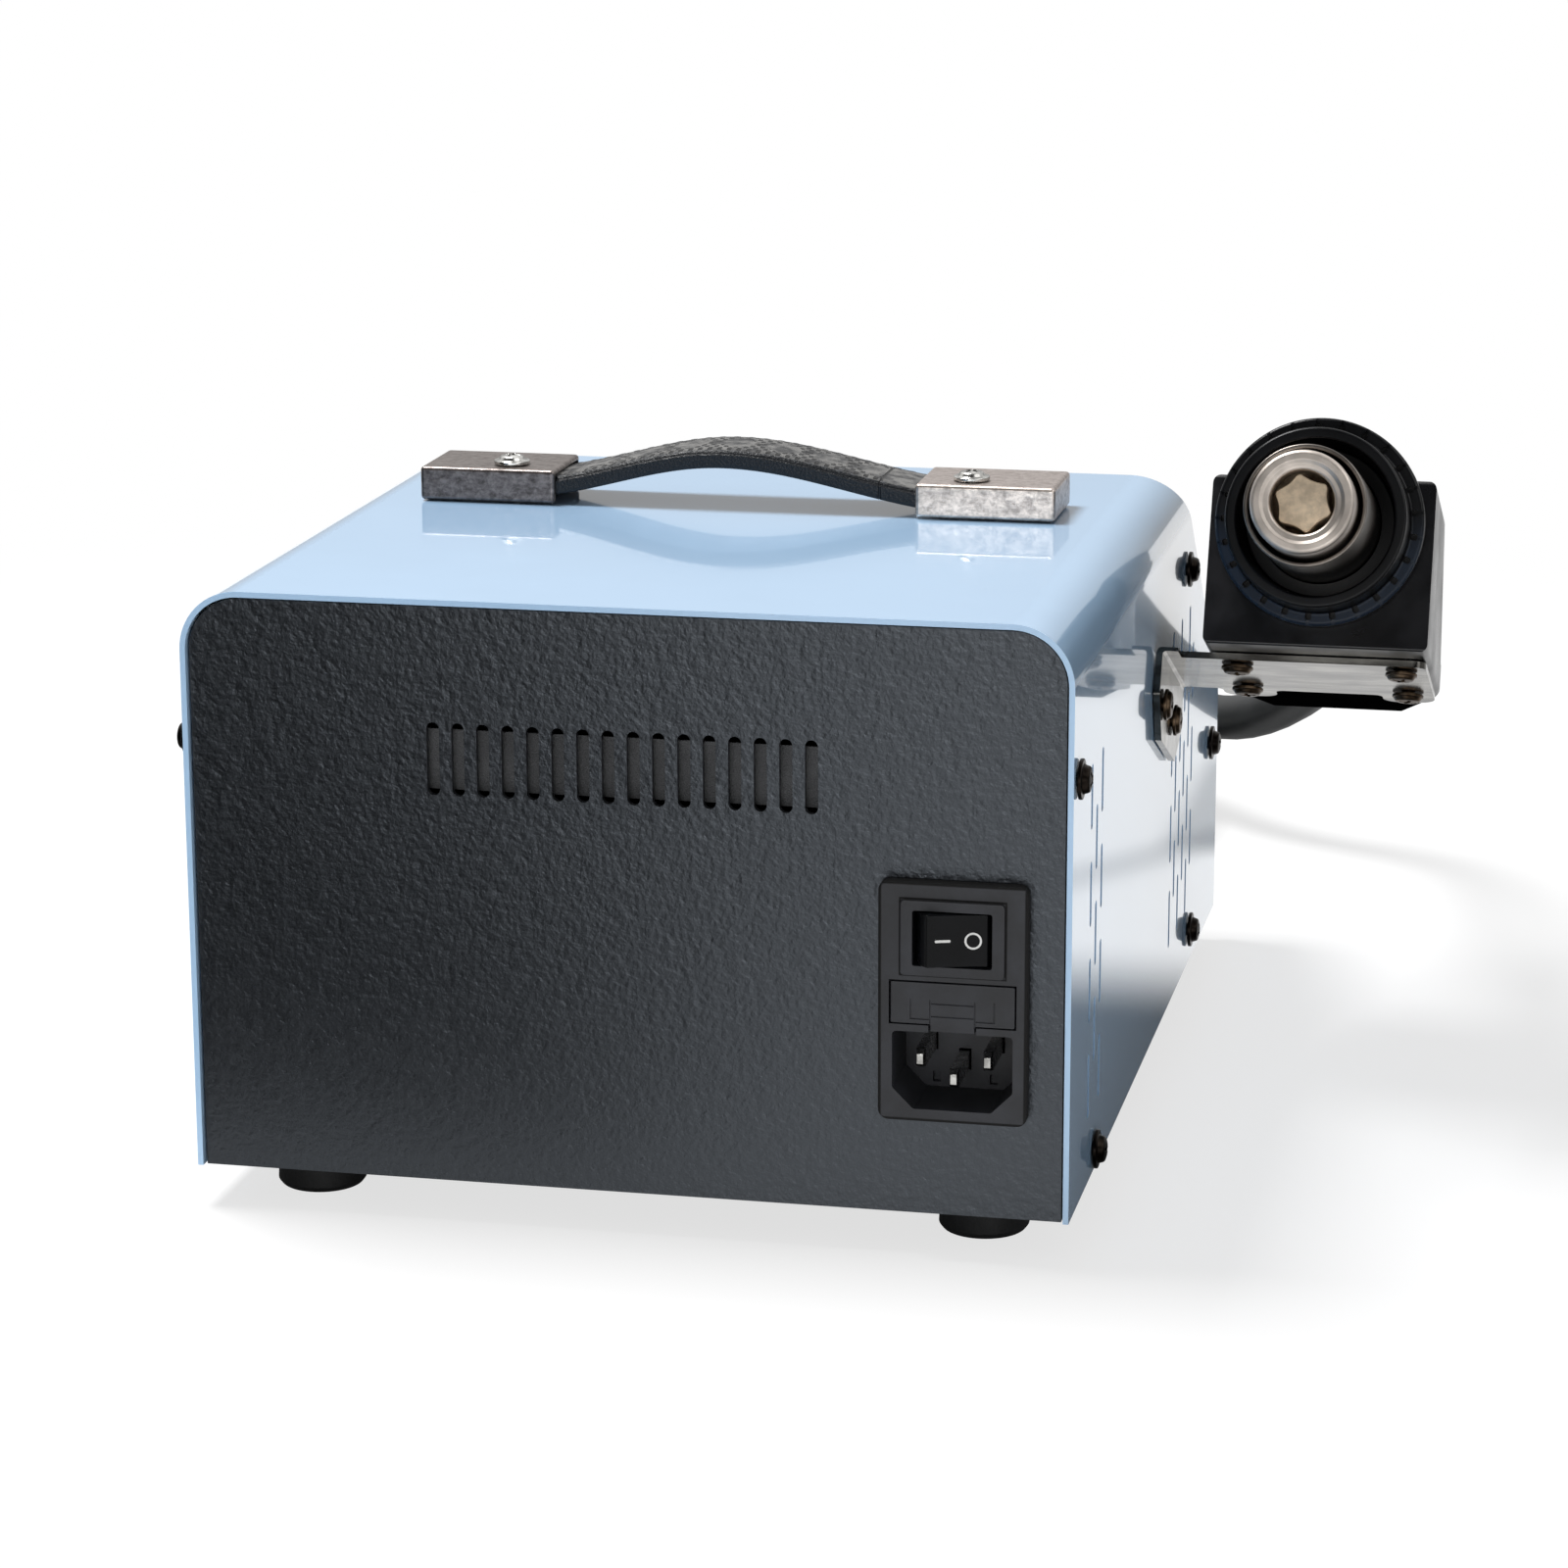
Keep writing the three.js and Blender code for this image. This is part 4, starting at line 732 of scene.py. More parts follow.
def inlet_plastic():
    """Satin black, with painted shade on the flange's edge and in a thin line round the rocker's frame."""
    plastic = Finish("inlet_plastic", {"Specular IOR Level": 0.4})
    x, _, z = plastic.axes()
    across = abs(x - INLET_X * MM)
    rise = abs(z - INLET_MIDDLE * MM)
    flange_edge = (INLET_HEIGHT / 2 - 0.5) * MM
    flange = across.maths("MAXIMUM", across + (INLET_HEIGHT - INLET_WIDTH) / 2 * MM, rise)
    rocker = across.maths(
        "MAXIMUM", across - RIM_WIDTH / 2 * MM, abs(z - ROCKER_Z * MM) - RIM_HEIGHT / 2 * MM)
    # Painted shade: the flange's rounded edge and sides, and a thin line round the rocker's frame, are
    # darkened.
    edge_shade = flange.over(flange_edge - 0.0004, flange_edge) + abs(rocker - 0.00015).over(
        0.0001, 0.0003, 1.0, 0.0)
    wear = plastic.wear()
    face = plastic.mottled(wear.over(0.35, 0.7), "232428", "303238")
    plastic.give(
        Base_Color=plastic.blend(edge_shade.over(0.0, 1.0), face, tint("040405")),
        Roughness=0.34 + 0.14 * wear + 0.4 * edge_shade)
    plastic.bump(plastic.noise(2200.0, 2.0), 0.00002, 0.4)
    return plastic.material


def collar_plastic():
    """Black, with a painted bluish reflection on the lower part of the notched ring, where the notches stay
    dark.
    """
    plastic = Finish("collar_plastic", {"Specular IOR Level": 0.2})
    x, y, z = plastic.axes()
    spread = x * x + y * y
    ring = spread.over(0.0205 ** 2, 0.0208 ** 2) * z.over(-0.0012, -0.0006)
    # Painted reflection: the lower part of the notched ring is bluish, as if mirroring light from below.
    lower = ring * y.over(-0.004, 0.008)
    wave = (x.maths("ARCTAN2", y, x) * chosen("gun").notches).cosine()
    pit = wave.over(0.55, 0.8) * spread.over(0.0219 ** 2, 0.0222 ** 2, 1.0, 0.0)
    wear = plastic.wear()
    black = plastic.mottled(wear.over(0.35, 0.7), "050608", "0b0c0f")
    painted_reflection = plastic.mottled(pit, "172230", "030304")
    plastic.give(Base_Color=plastic.blend(lower, black, painted_reflection), Roughness=0.24 + 0.14 * wear)
    plastic.bump(plastic.noise(1800.0, 2.0), 0.00001, 0.3)
    return plastic.material


def heater_steel(name, factor, least):
    steel = Finish(name, {"Metallic": 1.0})
    colour = scaled(chosen("gun").steel_colour, factor)
    rings = steel.noise(1.0, 4.0, 0.7, stretch=(60.0, 60.0, 3200.0))
    heat = steel.noise(90.0, 4.0)
    steel.give(
        Base_Color=steel.blend(heat.over(0.3, 0.7), scaled(colour, 0.8), scaled(colour, 1.5)),
        Roughness=least + 0.18 * rings)
    steel.bump(rings, 0.00002, 0.3)
    return steel.material


def core_ceramic():
    ceramic = Finish("core_ceramic", {"Specular IOR Level": 0.3})
    colour = chosen("gun").ceramic_colour
    body = ceramic.noise(420.0, 6.0, 0.65)
    ceramic.give(
        Base_Color=ceramic.blend(body.over(0.3, 0.7), scaled(colour, 0.78), scaled(colour, 1.15)),
        Roughness=0.72 + 0.2 * body)
    ceramic.bump(body, 0.0001, 0.5)
    return ceramic.material


def plated(name, dark, light, roughness):
    """Plated or blackened steel of small fixings."""
    metal = Finish(name, {"Metallic": 1.0})
    haze = metal.noise(500.0, 4.0)
    metal.give(
        Base_Color=metal.mottled(haze.over(0.3, 0.7), dark, light),
        Roughness=roughness + 0.2 * haze)
    metal.bump(metal.noise(900.0, 2.0), 0.00001, 0.4)
    return metal.material


def smoked_window():
    window = Finish("smoked_window", {"Coat Weight": 1.0, "Coat Roughness": 0.02})
    film = window.noise(20.0, 3.0)
    window.give(Base_Color=window.mottled(film, "160506", "1f0a0b"), Roughness=0.06 + 0.05 * film)
    window.bump(window.noise(200.0, 1.0), 0.00001, 0.1)
    return window.material


def board_mask():
    board = Finish("board_mask", {"Specular IOR Level": 0.5})
    x, y, _ = board.axes()
    tracks = ((x * 1400.0).sine() * (y * 900.0).sine()).over(0.1, 0.2)
    board.give(Base_Color=board.mottled(tracks, "123c22", "1c5a32"), Roughness=0.35 + 0.2 * tracks)
    board.bump(tracks, 0.00004, 0.5)
    return board.material


def laminations():
    core = Finish("laminations", {"Metallic": 0.8})
    _, _, z = core.axes()
    sheets = (z * 9000.0).sine().over(-0.4, 0.6)
    core.give(Base_Color=core.mottled(sheets, "2a2522", "6b625a"), Roughness=0.45 + 0.2 * sheets)
    core.bump(sheets, 0.0002, 0.7)
    return core.material


def copper_wire():
    wire = Finish("copper_wire", {"Metallic": 0.9})
    _, _, z = wire.axes()
    strands = (z * 7000.0).sine().over(-0.6, 0.9)
    wire.give(Base_Color=wire.mottled(strands, "4d1f10", "b5653c"), Roughness=0.3 + 0.2 * strands)
    wire.bump(strands, 0.0003, 0.8)
    return wire.material


def printed(name, code, roughness):
    """Printed or moulded-in marks."""
    ink = Finish(name, {"Specular IOR Level": 0.4})
    body = ink.noise(800.0, 3.0)
    colour = tint(code)
    ink.give(Base_Color=ink.blend(body, scaled(colour, 0.93), colour), Roughness=roughness + 0.1 * body)
    return ink.material


def fuse_glass():
    glass = Finish("fuse_glass", {"Transmission Weight": 1.0, "IOR": 1.5})
    haze = glass.noise(400.0, 2.0)
    glass.give(Base_Color=glass.mottled(haze, "dfe6e8", "f2f5f6"), Roughness=0.04 + 0.05 * haze)
    return glass.material


# Each finish's maker, with its values where it takes any
FINISHES = {
    "paint": (cover_paint,),
    "coat": (panel_coat,),
    "inlet": (inlet_plastic,),
    "rocker": (moulding, "rocker_plastic", "0a0b0d", "101114", 0.16, 0.24, 1500.0, 0.000006, 0.2, 0.14),
    "cradle": (moulding, "cradle_plastic", "0a0a0d", "131317", 0.26, 0.4, 1600.0, 0.00003, 0.5),
    "collar": (collar_plastic,),
    # Dead black without gloss, for sheets that stand in for shade: painted shade.
    "shade_sheet": (moulding, "sole_rubber", "030303", "060606", 0.9, 1.0, 1500.0, 0.00003, 0.3, 0.0),
    "grip": (moulding, "grip_plastic", "0e0f11", "191b1e", 0.28, 0.42),
    "rubber": (moulding, "foot_rubber", "090a0b", "121315", 0.62, 0.8, 1300.0, 0.00008, 0.7),
    "hose": (moulding, "hose_rubber", "1d1f20", "2b2d2e", 0.42, 0.58, 900.0, 0.00006, 0.5),
    "button": (moulding, "button_plastic", "2d2f33", "3a3c41", 0.4, 0.55, 1500.0, 0.00003, 0.5),
    "strap": (strap_cover,),
    "felt": (moulding, "grey_felt", "58595b", "6a6b6d", 0.8, 0.95, 2600.0, 0.0002, 0.8),
    "thread": (moulding, "stitch_thread", "26282b", "3c3e42", 0.55, 0.7, 4000.0, 0.0001, 0.8),
    "cap": (mottled_metal,),
    "bracket": (polished_steel,),
    "heater": (heater_steel, "nozzle_steel", 1.0, 0.36),
    # The sleeve is the heater steel at 0.3 of its brightness: painted shade on the sleeve.
    "sleeve": (heater_steel, "sleeve_steel", 0.3, 0.26),
    "ceramic": (core_ceramic,),
    "bright": (plated, "bright_plating", "9c9b98", "dddcd8", 0.16),
    "brown": (plated, "browned_steel", "33291f", "6b5a49", 0.26),
    "blackened": (plated, "blackened_steel", "0e0c0b", "26211d", 0.22),
    "window": (smoked_window,),
    "board": (board_mask,),
    "laminations": (laminations,),
    "wire": (copper_wire,),
    "white": (printed, "white_marks", "ececea", 0.45),
    "unlit": (printed, "unlit_segments", "3a0e0c", 0.3),
    "glass": (fuse_glass,),
}
made_finishes = {}


def finish(name):
    if name not in made_finishes:
        maker, *values = FINISHES[name]
        made_finishes[name] = maker(*values)
    return made_finishes[name]


# Case


SLOT_GROUPS = ((26.0, 3), (157.0, 6))
SLOT_COLUMN_PITCH = 7.6
SLOT_ROW_PITCH = 20.9
SLOT_ROWS = 4
SLOT_TOP = BASE + 84.3


def side_slots(width, height):
    """Slots through both sides, as long oblong bars in staggered columns."""
    bars = []
    for start, columns in SLOT_GROUPS:
        for column in range(columns):
            stagger = column % 2
            y = -(start + column * SLOT_COLUMN_PITCH)
            for row in range(SLOT_ROWS - stagger):
                z = SLOT_TOP - (row + 0.5 * stagger) * SLOT_ROW_PITCH
                outline = oblong(width, height, width / 2, y, z, 4)
                bars.append(prism(outline, -HALF_WIDTH - 2, HALF_WIDTH + 2, "x"))
    return together(*bars)


def slope_point(inset, z):
    along = (z - STEP + inset * math.cos(SLOPE)) / math.sin(SLOPE)
    return -DEPTH + inset * math.sin(SLOPE) + along * math.cos(SLOPE), z


def knee_point(inset):
    """Where the front panel's slope meets its upright part, at a depth behind the front."""
    return -DEPTH + inset, STEP - inset * (1 - math.sin(SLOPE)) / math.cos(SLOPE)


SIDE_SCREWS = (
    (-6.0, BASE + 93.0),
    (-35.6, BASE + 4.7),
    (-(DEPTH - 54.3), BASE + 8.6),
    (-(DEPTH - 17.0), BASE + 47.0),
    slope_point(11.8, BASE + 101.6),
)
BRACKET_SCREWS = ((1.5, 10.8), (20.5, 10.8))


def cover_mesh(settings):
    sheet, bend = settings.sheet / MM, settings.bend / MM
    outer = arch(HALF_WIDTH, BASE, TOP, bend)
    inner = arch(HALF_WIDTH - sheet, BASE, TOP - sheet, bend - sheet)
    skin = outer[1:] + [outer[0]] + [inner[0]] + inner[:0:-1]
    shell = prism(skin, -DEPTH, 0.0, "y")
    low, high = Vector((-DEPTH, STEP)), Vector((-TOP_DEPTH, TOP))
    along = (high - low).normalized()
    start, end = low - along * 20, high + along * 20
    far = -DEPTH - 40
    wedge = prism([tuple(start), tuple(end), (far, end.y), (far, start.y)], -120, 120, "x")
    holes = [prism(screw_hole(y, z), -HALF_WIDTH - 2, HALF_WIDTH + 2, "x") for y, z in SIDE_SCREWS]
    for along_bend, down in BRACKET_SCREWS:
        at = carried(SHELF) @ Vector((0, -along_bend, -down))
        holes.append(prism(screw_hole(at.y, at.z), -HALF_WIDTH - 2, -HALF_WIDTH + 4, "x"))
    holes += [prism(screw_hole(side * CAP_SCREW_X, HANDLE_Y + CAP_SCREW_Y), TOP - 4, TOP + 2)
              for side in (-1, 1)]
    slots = side_slots(settings.slot_width / MM, settings.slot_height / MM)
    return softened(combined(shell, [wedge, slots, together(*holes)]), 0.2, 2)


def side_flanges(outline, screws):
    """The flanges that a panel turns inwards along both sides, drilled for their screws."""
    flanges = []
    for side in (-1, 1):
        x0, x1 = sorted((side * (PANEL_HALF - PANEL_SHEET), side * PANEL_HALF))
        holes = [prism(screw_hole(y, z), x0 - 1, x1 + 1, "x") for y, z in screws]
        flanges.append(softened(combined(prism(outline, x0, x1, "x"), holes), 0.2))
    return flanges


REAR_SLOT_PITCH = 5.33
REAR_SLOT_WIDTH = 2.7
REAR_SLOT_HEIGHT = 15.5
REAR_SLOT_Z = BASE + 91.8


def rear_panel_mesh(settings):
    edge = COVER_SHEET + 0.5
    outline = arch(HALF_WIDTH - edge, BASE, TOP - edge, COVER_BEND - edge)
    middle = (settings.rear_slots - 1) / 2
    holes = []
    for i in range(settings.rear_slots):
        x = (i - middle) * REAR_SLOT_PITCH
        holes.append(oblong(REAR_SLOT_WIDTH, REAR_SLOT_HEIGHT, REAR_SLOT_WIDTH / 2, x, REAR_SLOT_Z, 6))
    left, right, low, high = INLET_X - 14, INLET_X + 14, INLET_TOP - 49.1, INLET_TOP - 1.9
    holes.append([(left, low), (right, low), (right, high), (left, high)])
    back = -REAR_INSET - PANEL_SHEET
    plate = softened(prism(outline, back, -REAR_INSET, "y", holes), 0.6, 3)
    deep, start, top = -REAR_INSET - 12, back - FLANGE_PLAY, TOP - COVER_BEND
    flange = [(deep, FLANGE_LOW), (start, FLANGE_LOW), (start, top), (deep, top)]
    return together(plate, *side_flanges(flange, SIDE_SCREWS[:1]))


def build_case():
    settings = chosen("case")
    show("cover", cover_mesh(settings), finish("paint"), nodes=["top_cover"])
    show("rear_sheet", rear_panel_mesh(settings), finish("coat"), nodes=["rear_panel"])
    back = -REAR_INSET - PANEL_SHEET
    felt = middle_block(0, 46, back - 2.6, back - 2.0, BASE + 84.6, BASE + 97.4)
    show("slot_felt", felt, finish("felt"))
    # A black sheet deeper behind the slots: painted shade in the vents.
    shade = middle_block(0, 48, back - 4.4, back - 4.0, BASE + 80.5, BASE + 103.1)
    show("slot_shade", shade, finish("shade_sheet"))


def build_feet():
    foot = lathed([
        (0, 0), (8.7, 0, 0.9), (9.6, 1.2, 0.6), (9.2, 8.7, 0.8), (2.6, 8.7), (2.6, 10.8), (3.8, 10.8),
        (2.2, 12.9), (0, 12.9)], 56)
    places = [(side * 73.0, y) for side in (-1, 1) for y in (-21.0, -DEPTH + 26.0)]
    meshes = [(foot, Matrix.Translation((x, y, 0))) for x, y in places]
    nodes = [f"foot_{end}_{side}" for side in ("right", "left") for end in ("rear", "front")]
    show("rubber_feet", gathered(meshes), finish("rubber"), nodes=nodes)


def screw_mesh(length, flange, flange_high, head, head_high, recess):
    """A pan-head screw with a cross recess, pointing up out of z = 0."""
    crown = flange_high + head_high
    body = lathed([
        (0, -length), (1.2, -length, 0.3), (1.6, -length + 1.0, 0.3), (1.6, 0), (flange, 0, 0.12),
        (flange, flange_high, 0.22), (head, flange_high + 0.02, 0.25), (head * 0.86, crown * 0.78 + 0.2, 0.7),
        (head * 0.45, crown, 0.8), (0, crown)], 40)
    dip = prism(cross(recess, recess * 0.19), crown - min(1.1, crown * 0.62), crown + 1)
    cone = turned([
        (0, crown - 1.1), (recess * 0.42, crown - 0.7), (recess * 0.5, crown + 1), (0, crown + 1)], 16)
    return softened(combined(combined(body, [dip]), [cone]), 0.06, 1, 50)


def build_screws():
    flanged = screw_mesh(length=6, flange=4.2, flange_high=0.8, head=3.1, head_high=1.75, recess=1.9)
    placed, nodes = [], []
    for side, word in ((-1, "left"), (1, "right")):
        for i, (y, z) in enumerate(SIDE_SCREWS):
            turn = Matrix.Rotation(0.7 * i + side, 4, "Z")
            placed.append((flanged, pointing((side * (HALF_WIDTH + GAP), y, z), (side, 0, 0)) @ turn))
            nodes.append(f"side_screw_{word}_{i + 1}")
    show("side_screws", gathered(placed), finish("blackened"), nodes=nodes)

    pan = screw_mesh(length=6, flange=3.6, flange_high=0.7, head=3.3, head_high=1.05, recess=2.0)
    outer = -HALF_WIDTH - 2 * GAP - BRACKET_SHEET
    placed = [(pan, pointing((outer, -s, -down), (-1, 0, 0)) @ Matrix.Rotation(0.5 + s, 4, "Z"))
              for s, down in BRACKET_SCREWS]
    show("bracket_screws", gathered(placed), finish("brown"),
         nodes=["bracket_screw_1", "bracket_screw_2"], at=SHELF)
    placed = [(pan, pointing((CRADLE_X + side * CRADLE_SCREW_SPREAD, -s, -GAP), (0, 0, -1))
               @ Matrix.Rotation(0.3 + s + side, 4, "Z")) for side in (-1, 1) for s in SHELF_SCREW_ROWS]
    show("cradle_screws", gathered(placed), finish("brown"),
         nodes=[f"cradle_screw_{i}" for i in range(1, 5)], at=SHELF)


# Mains inlet


def drawer_outline(grow=0.0):
    w, h, tab, drop = 12.9 + grow, 4.4 + grow, 4.65 + grow, 1.6
    return [(INLET_X + u, DRAWER_Z + v) for u, v in (
        (-w, -h), (-tab, -h), (-tab, -h - drop), (tab, -h - drop), (tab, -h), (w, -h), (w, h), (-w, h))]


def inlet_mesh():
    face, back = INLET_FACE, INLET_FACE - 2.9
    plate = prism(oblong(INLET_WIDTH, INLET_HEIGHT, 2.2, INLET_X, INLET_MIDDLE, 8), back, face, "y")
    body = middle_block(INLET_X, 13.7, back - 26, face - 1, INLET_TOP - 48.8, INLET_TOP - 2.2)
    rim = prism(oblong(RIM_WIDTH, RIM_HEIGHT, 0.9, INLET_X, ROCKER_Z), face - 1, face + 1.0, "y")
    whole = combined(softened(plate, 0.5, 3), [body, softened(rim, 0.3, 2)], "UNION")
    w, h, c = 12.5, 8.25, 4.4
    half_socket = [(w - c, -h), (w, -h + c), (w, h)]
    socket = half_socket + [(-u, v) for u, v in reversed(half_socket)]
    rooms = [
        prism(oblong(16.5, 11.7, 0.5, INLET_X, ROCKER_Z, 3), face - 9, face + 3, "y"),
        prism(drawer_outline(GAP), face - DRAWER_SHEET - GAP, face + 2, "y"),
        middle_block(INLET_X, 11.6, face - 19.7, face - 2.0, DRAWER_Z - 4.2, DRAWER_Z + 4.2),
        prism(rounded([(INLET_X + u, SOCKET_Z + v) for u, v in socket], 0.8, 4), face - 16, face + 2, "y"),
    ]
    for u, v in PIN_PLACES:
        z = SOCKET_Z + v
        rooms.append(middle_block(INLET_X + u, 1.3, back - 28, face - 14, z - 2.3, z + 2.3))
    for u in (-6, 6):
        z = SOCKET_Z - 6.2
        rooms.append(middle_block(INLET_X + u, 0.8, face - 17.5, face - 15, z - 1.1, z + 1.1))
    return softened(combined(whole, rooms), 0.22, 2, 55)


def rocker_face(u):
    """Height of the rocker's hollow face, off its middle."""
    return ROCKER_RISE - ROCKER_DIP * (1 - (u / ROCKER_HALF) ** 2)


def rocker_mesh():
    radius, half_wide = 7.9, 5.55
    start, end = math.asin(ROCKER_RISE / radius), -0.3
    turns = [start + (end - start) * k / 10 for k in range(11)]
    right = [(radius * math.cos(turn), radius * math.sin(turn)) for turn in turns]
    left = [(-u, v) for u, v in reversed(right)]
    hollow = [(u, rocker_face(u)) for u in [ROCKER_HALF * (k / 8 - 1) for k in range(1, 16)]]
    return softened(prism(right + left + hollow, -half_wide, half_wide), 0.3, 3)


def rocker_marks():
    """A bar on one half and a ring on the other, lying just on the rocker's hollow face."""
    bar = prism(oblong(3.2, 0.55, 0.2, 0, 0, 3), -0.04, 0.07)
    ring = prism(disc(1.78, steps=40), -0.04, 0.07, holes=[disc(1.36, steps=40)])
    placed = []
    for mesh, u in ((bar, 2.9), (ring, -3.3)):
        slope = math.atan(2 * ROCKER_DIP * u / ROCKER_HALF ** 2)
        out = Vector((-math.sin(slope), math.cos(slope), 0))
        across = Vector((math.cos(slope), math.sin(slope), 0))
        turn = Matrix((across, Vector((0, 0, 1)), out)).transposed().to_4x4()
        placed.append((mesh, Matrix.Translation((u, rocker_face(u), 0)) @ turn))
    return gathered(placed)


def drawer_mesh():
    back = INLET_FACE - DRAWER_SHEET
    front = softened(prism(drawer_outline(), back, INLET_FACE, "y"), 0.3, 2)
    body = middle_block(INLET_X, 11.3, back - 17, back + 1, DRAWER_Z - 3.9, DRAWER_Z + 3.9)
    seat = middle_block(INLET_X, 10.3, back - 11.3, back - 5.7, DRAWER_Z - 2.8, DRAWER_Z + 5)
    whole = combined(front, [body], "UNION")
    lines = [(0, 4.4, -0.15, 0.15), (0, 4.4, -2.85, -2.55)]
    for side in (-1, 1):
        lines.append((side * 8.65, 0.15, -3.5, 0.8))
        lines.append((side * 4.65, 0.15, -5.0, 0.8))
        lines.append((side * 6.65, 1.75, -3.5, -3.2))
    floor, rim = INLET_FACE - 0.25, INLET_FACE + 1
    grooves = [middle_block(INLET_X + u, half, floor, rim, DRAWER_Z + low, DRAWER_Z + high)
               for u, half, low, high in lines]
    return softened(combined(combined(whole, [seat]), [together(*grooves)]), 0.08, 1, 55)


def blade_mesh(x, z):
    """A contact pin with a tapered tip."""
    tail, tip = INLET_FACE - 34.9, INLET_FACE - 1.6
    side = [(tail, z - 2), (tip - 1.3, z - 2, 0.5), (tip, z - 1.1, 0.3), (tip, z + 1.1, 0.3),
            (tip - 1.3, z + 2, 0.5), (tail, z + 2)]
    plan = [(x - 1, tail - 1.1), (x + 1, tail - 1.1), (x + 1, tip - 1.5), (x + 0.65, tip + 0.1),
            (x - 0.65, tip + 0.1), (x - 1, tip - 1.5)]
    return combined(prism(rounded(side, 0.0, 4), x - 1, x + 1, "x"), [prism(plan, z - 3, z + 3)], "INTERSECT")


def build_inlet():
    show("inlet_body", inlet_mesh(), finish("inlet"), nodes=["inlet_housing"])
    tilt = STATION @ moved(INLET_X, INLET_FACE - 3.0, ROCKER_Z) @ Matrix.Rotation(
        math.radians(ROCKER_TILT), 4, "Z")
    show("rocker_key", rocker_mesh(), finish("rocker"), "power_rocker", ["power_rocker"],
         tilt)
    show("rocker_marks", rocker_marks(), finish("white"), "power_rocker", at=tilt)
    show("fuse_drawer_front", drawer_mesh(), finish("inlet"), "fuse_drawer", ["fuse_drawer"])

    fuse_y = INLET_FACE - DRAWER_SHEET - 8.5
    lie = Matrix.Translation((INLET_X, fuse_y, DRAWER_Z)) @ Matrix.Rotation(math.pi / 2, 4, "Y")
    tube = lathed([(0, -9.6), (2.3, -9.6, 0.3), (2.3, 9.6, 0.3), (0, 9.6)], 32, 3)
    cap = lathed([(0, 0), (2.5, 0, 0.3), (2.5, 5.4), (2.34, 5.4), (2.34, 0.4), (0, 0.4)], 32, 3)
    ends = [(cap, lie @ Matrix.Translation((0, 0, -10))),
            (cap, lie @ Matrix.Translation((0, 0, 10)) @ Matrix.Rotation(math.pi, 4, "X"))]
    show("fuse_tube", gathered([(tube, lie)]), finish("glass"), "fuse_drawer", ["fuse"])
    show("fuse_caps", gathered(ends), finish("bright"), "fuse_drawer")

    for (u, v), node in zip(PIN_PLACES, ("pin_line", "pin_neutral", "pin_earth")):
        blade = softened(blade_mesh(INLET_X + u, SOCKET_Z + v), 0.15, 2)
        show(f"{node}_blade", blade, finish("bright"), nodes=[node])


# Handle


def strap_centre(x):
    half = CAP_MOUTH + STRAP_CROWN if x < STRAP_CROWN else CAP_MOUTH - STRAP_CROWN
    t = min(1.0, abs(x - STRAP_CROWN) / half)
    return STRAP_LOW + STRAP_RISE * (0.25 * (1 + math.cos(math.pi * t)) + 0.5 * (1 - t ** 2))


def strap_mesh(settings):
    """Flat below, with rounded edges, a bead along each side and a flat, bordered top."""
    half, thick = settings.strap_width / MM / 2, settings.strap_thickness / MM
    right = [
        (0, 0), (half - 0.7, 0), (half - 0.2, 0.2), (half, 0.8), (half, thick - 1.3),
        (half - 0.2, thick - 1.05), (half - 0.45, thick - 1.0), (half - 0.6, thick - 0.7),
        (half - 1.0, thick - 0.3), (half - 1.5, thick - 0.25), (half - 1.9, thick - 0.45),
        (half - 2.3, thick - 0.2), (half - 4.0, thick - 0.05), (0, thick)]
    section = right + [(-y, z) for y, z in reversed(right[1:-1])]
    end, reach, steps = CAP_END - 1.4, CAP_MOUTH + 14, 90
    bow = [reach * (2 * k / steps - 1) for k in range(steps + 1)]
    xs = [-end, -end + 0.4, *bow, end - 0.4, end]
    strap = swept([[(x, y, strap_centre(x) + z) for y, z in section] for x in xs])
    holes = [prism(screw_hole(side * CAP_SCREW_X, CAP_SCREW_Y), TOP - 2, CAP_TOP) for side in (-1, 1)]
    return combined(strap, [together(*holes)])


def stitch_mesh(settings):
    thick, half = settings.strap_thickness / MM, settings.strap_width / MM / 2
    pitch = settings.stitch_pitch / MM
    bead = turned([(0, -1.1), (0.2, -1.02), (0.33, -0.7), (0.37, 0), (0.33, 0.7), (0.2, 1.02), (0, 1.1)], 10)
    placed = []
    count = int(CAP_MOUTH / pitch)
    for k in range(-count, count + 1):
        x = k * pitch
        slope = math.atan2(strap_centre(x + 0.5) - strap_centre(x - 0.5), 1)
        for side in (-1, 1):
            at = (x, side * (half - 1.2), strap_centre(x) + thick - 0.55)
            placed.append((bead, Matrix.Translation(at) @ Matrix.Rotation(math.pi / 2 - slope, 4, "Y")))
    return gathered(placed)


def cap_mesh(side):
    """A folded cap, open below and towards the strap."""
    x0, x1 = sorted((side * CAP_MOUTH, side * CAP_END))
    half = CAP_WIDTH / 2
    outer = softened(block(x0, x1, -half, half, TOP + GAP, CAP_TOP), 0.9, 4)
    x0, x1 = sorted((side * (CAP_MOUTH - 1), side * (CAP_END - CAP_WALL)))
    inner = softened(block(x0, x1, CAP_WALL - half, half - CAP_WALL, TOP - 3, CAP_TOP - CAP_WALL), 0.5, 2)
    hole = prism(screw_hole(side * CAP_SCREW_X, CAP_SCREW_Y, 24), TOP, CAP_TOP + 1)
    return softened(combined(outer, [inner, hole]), 0.12, 1, 60)


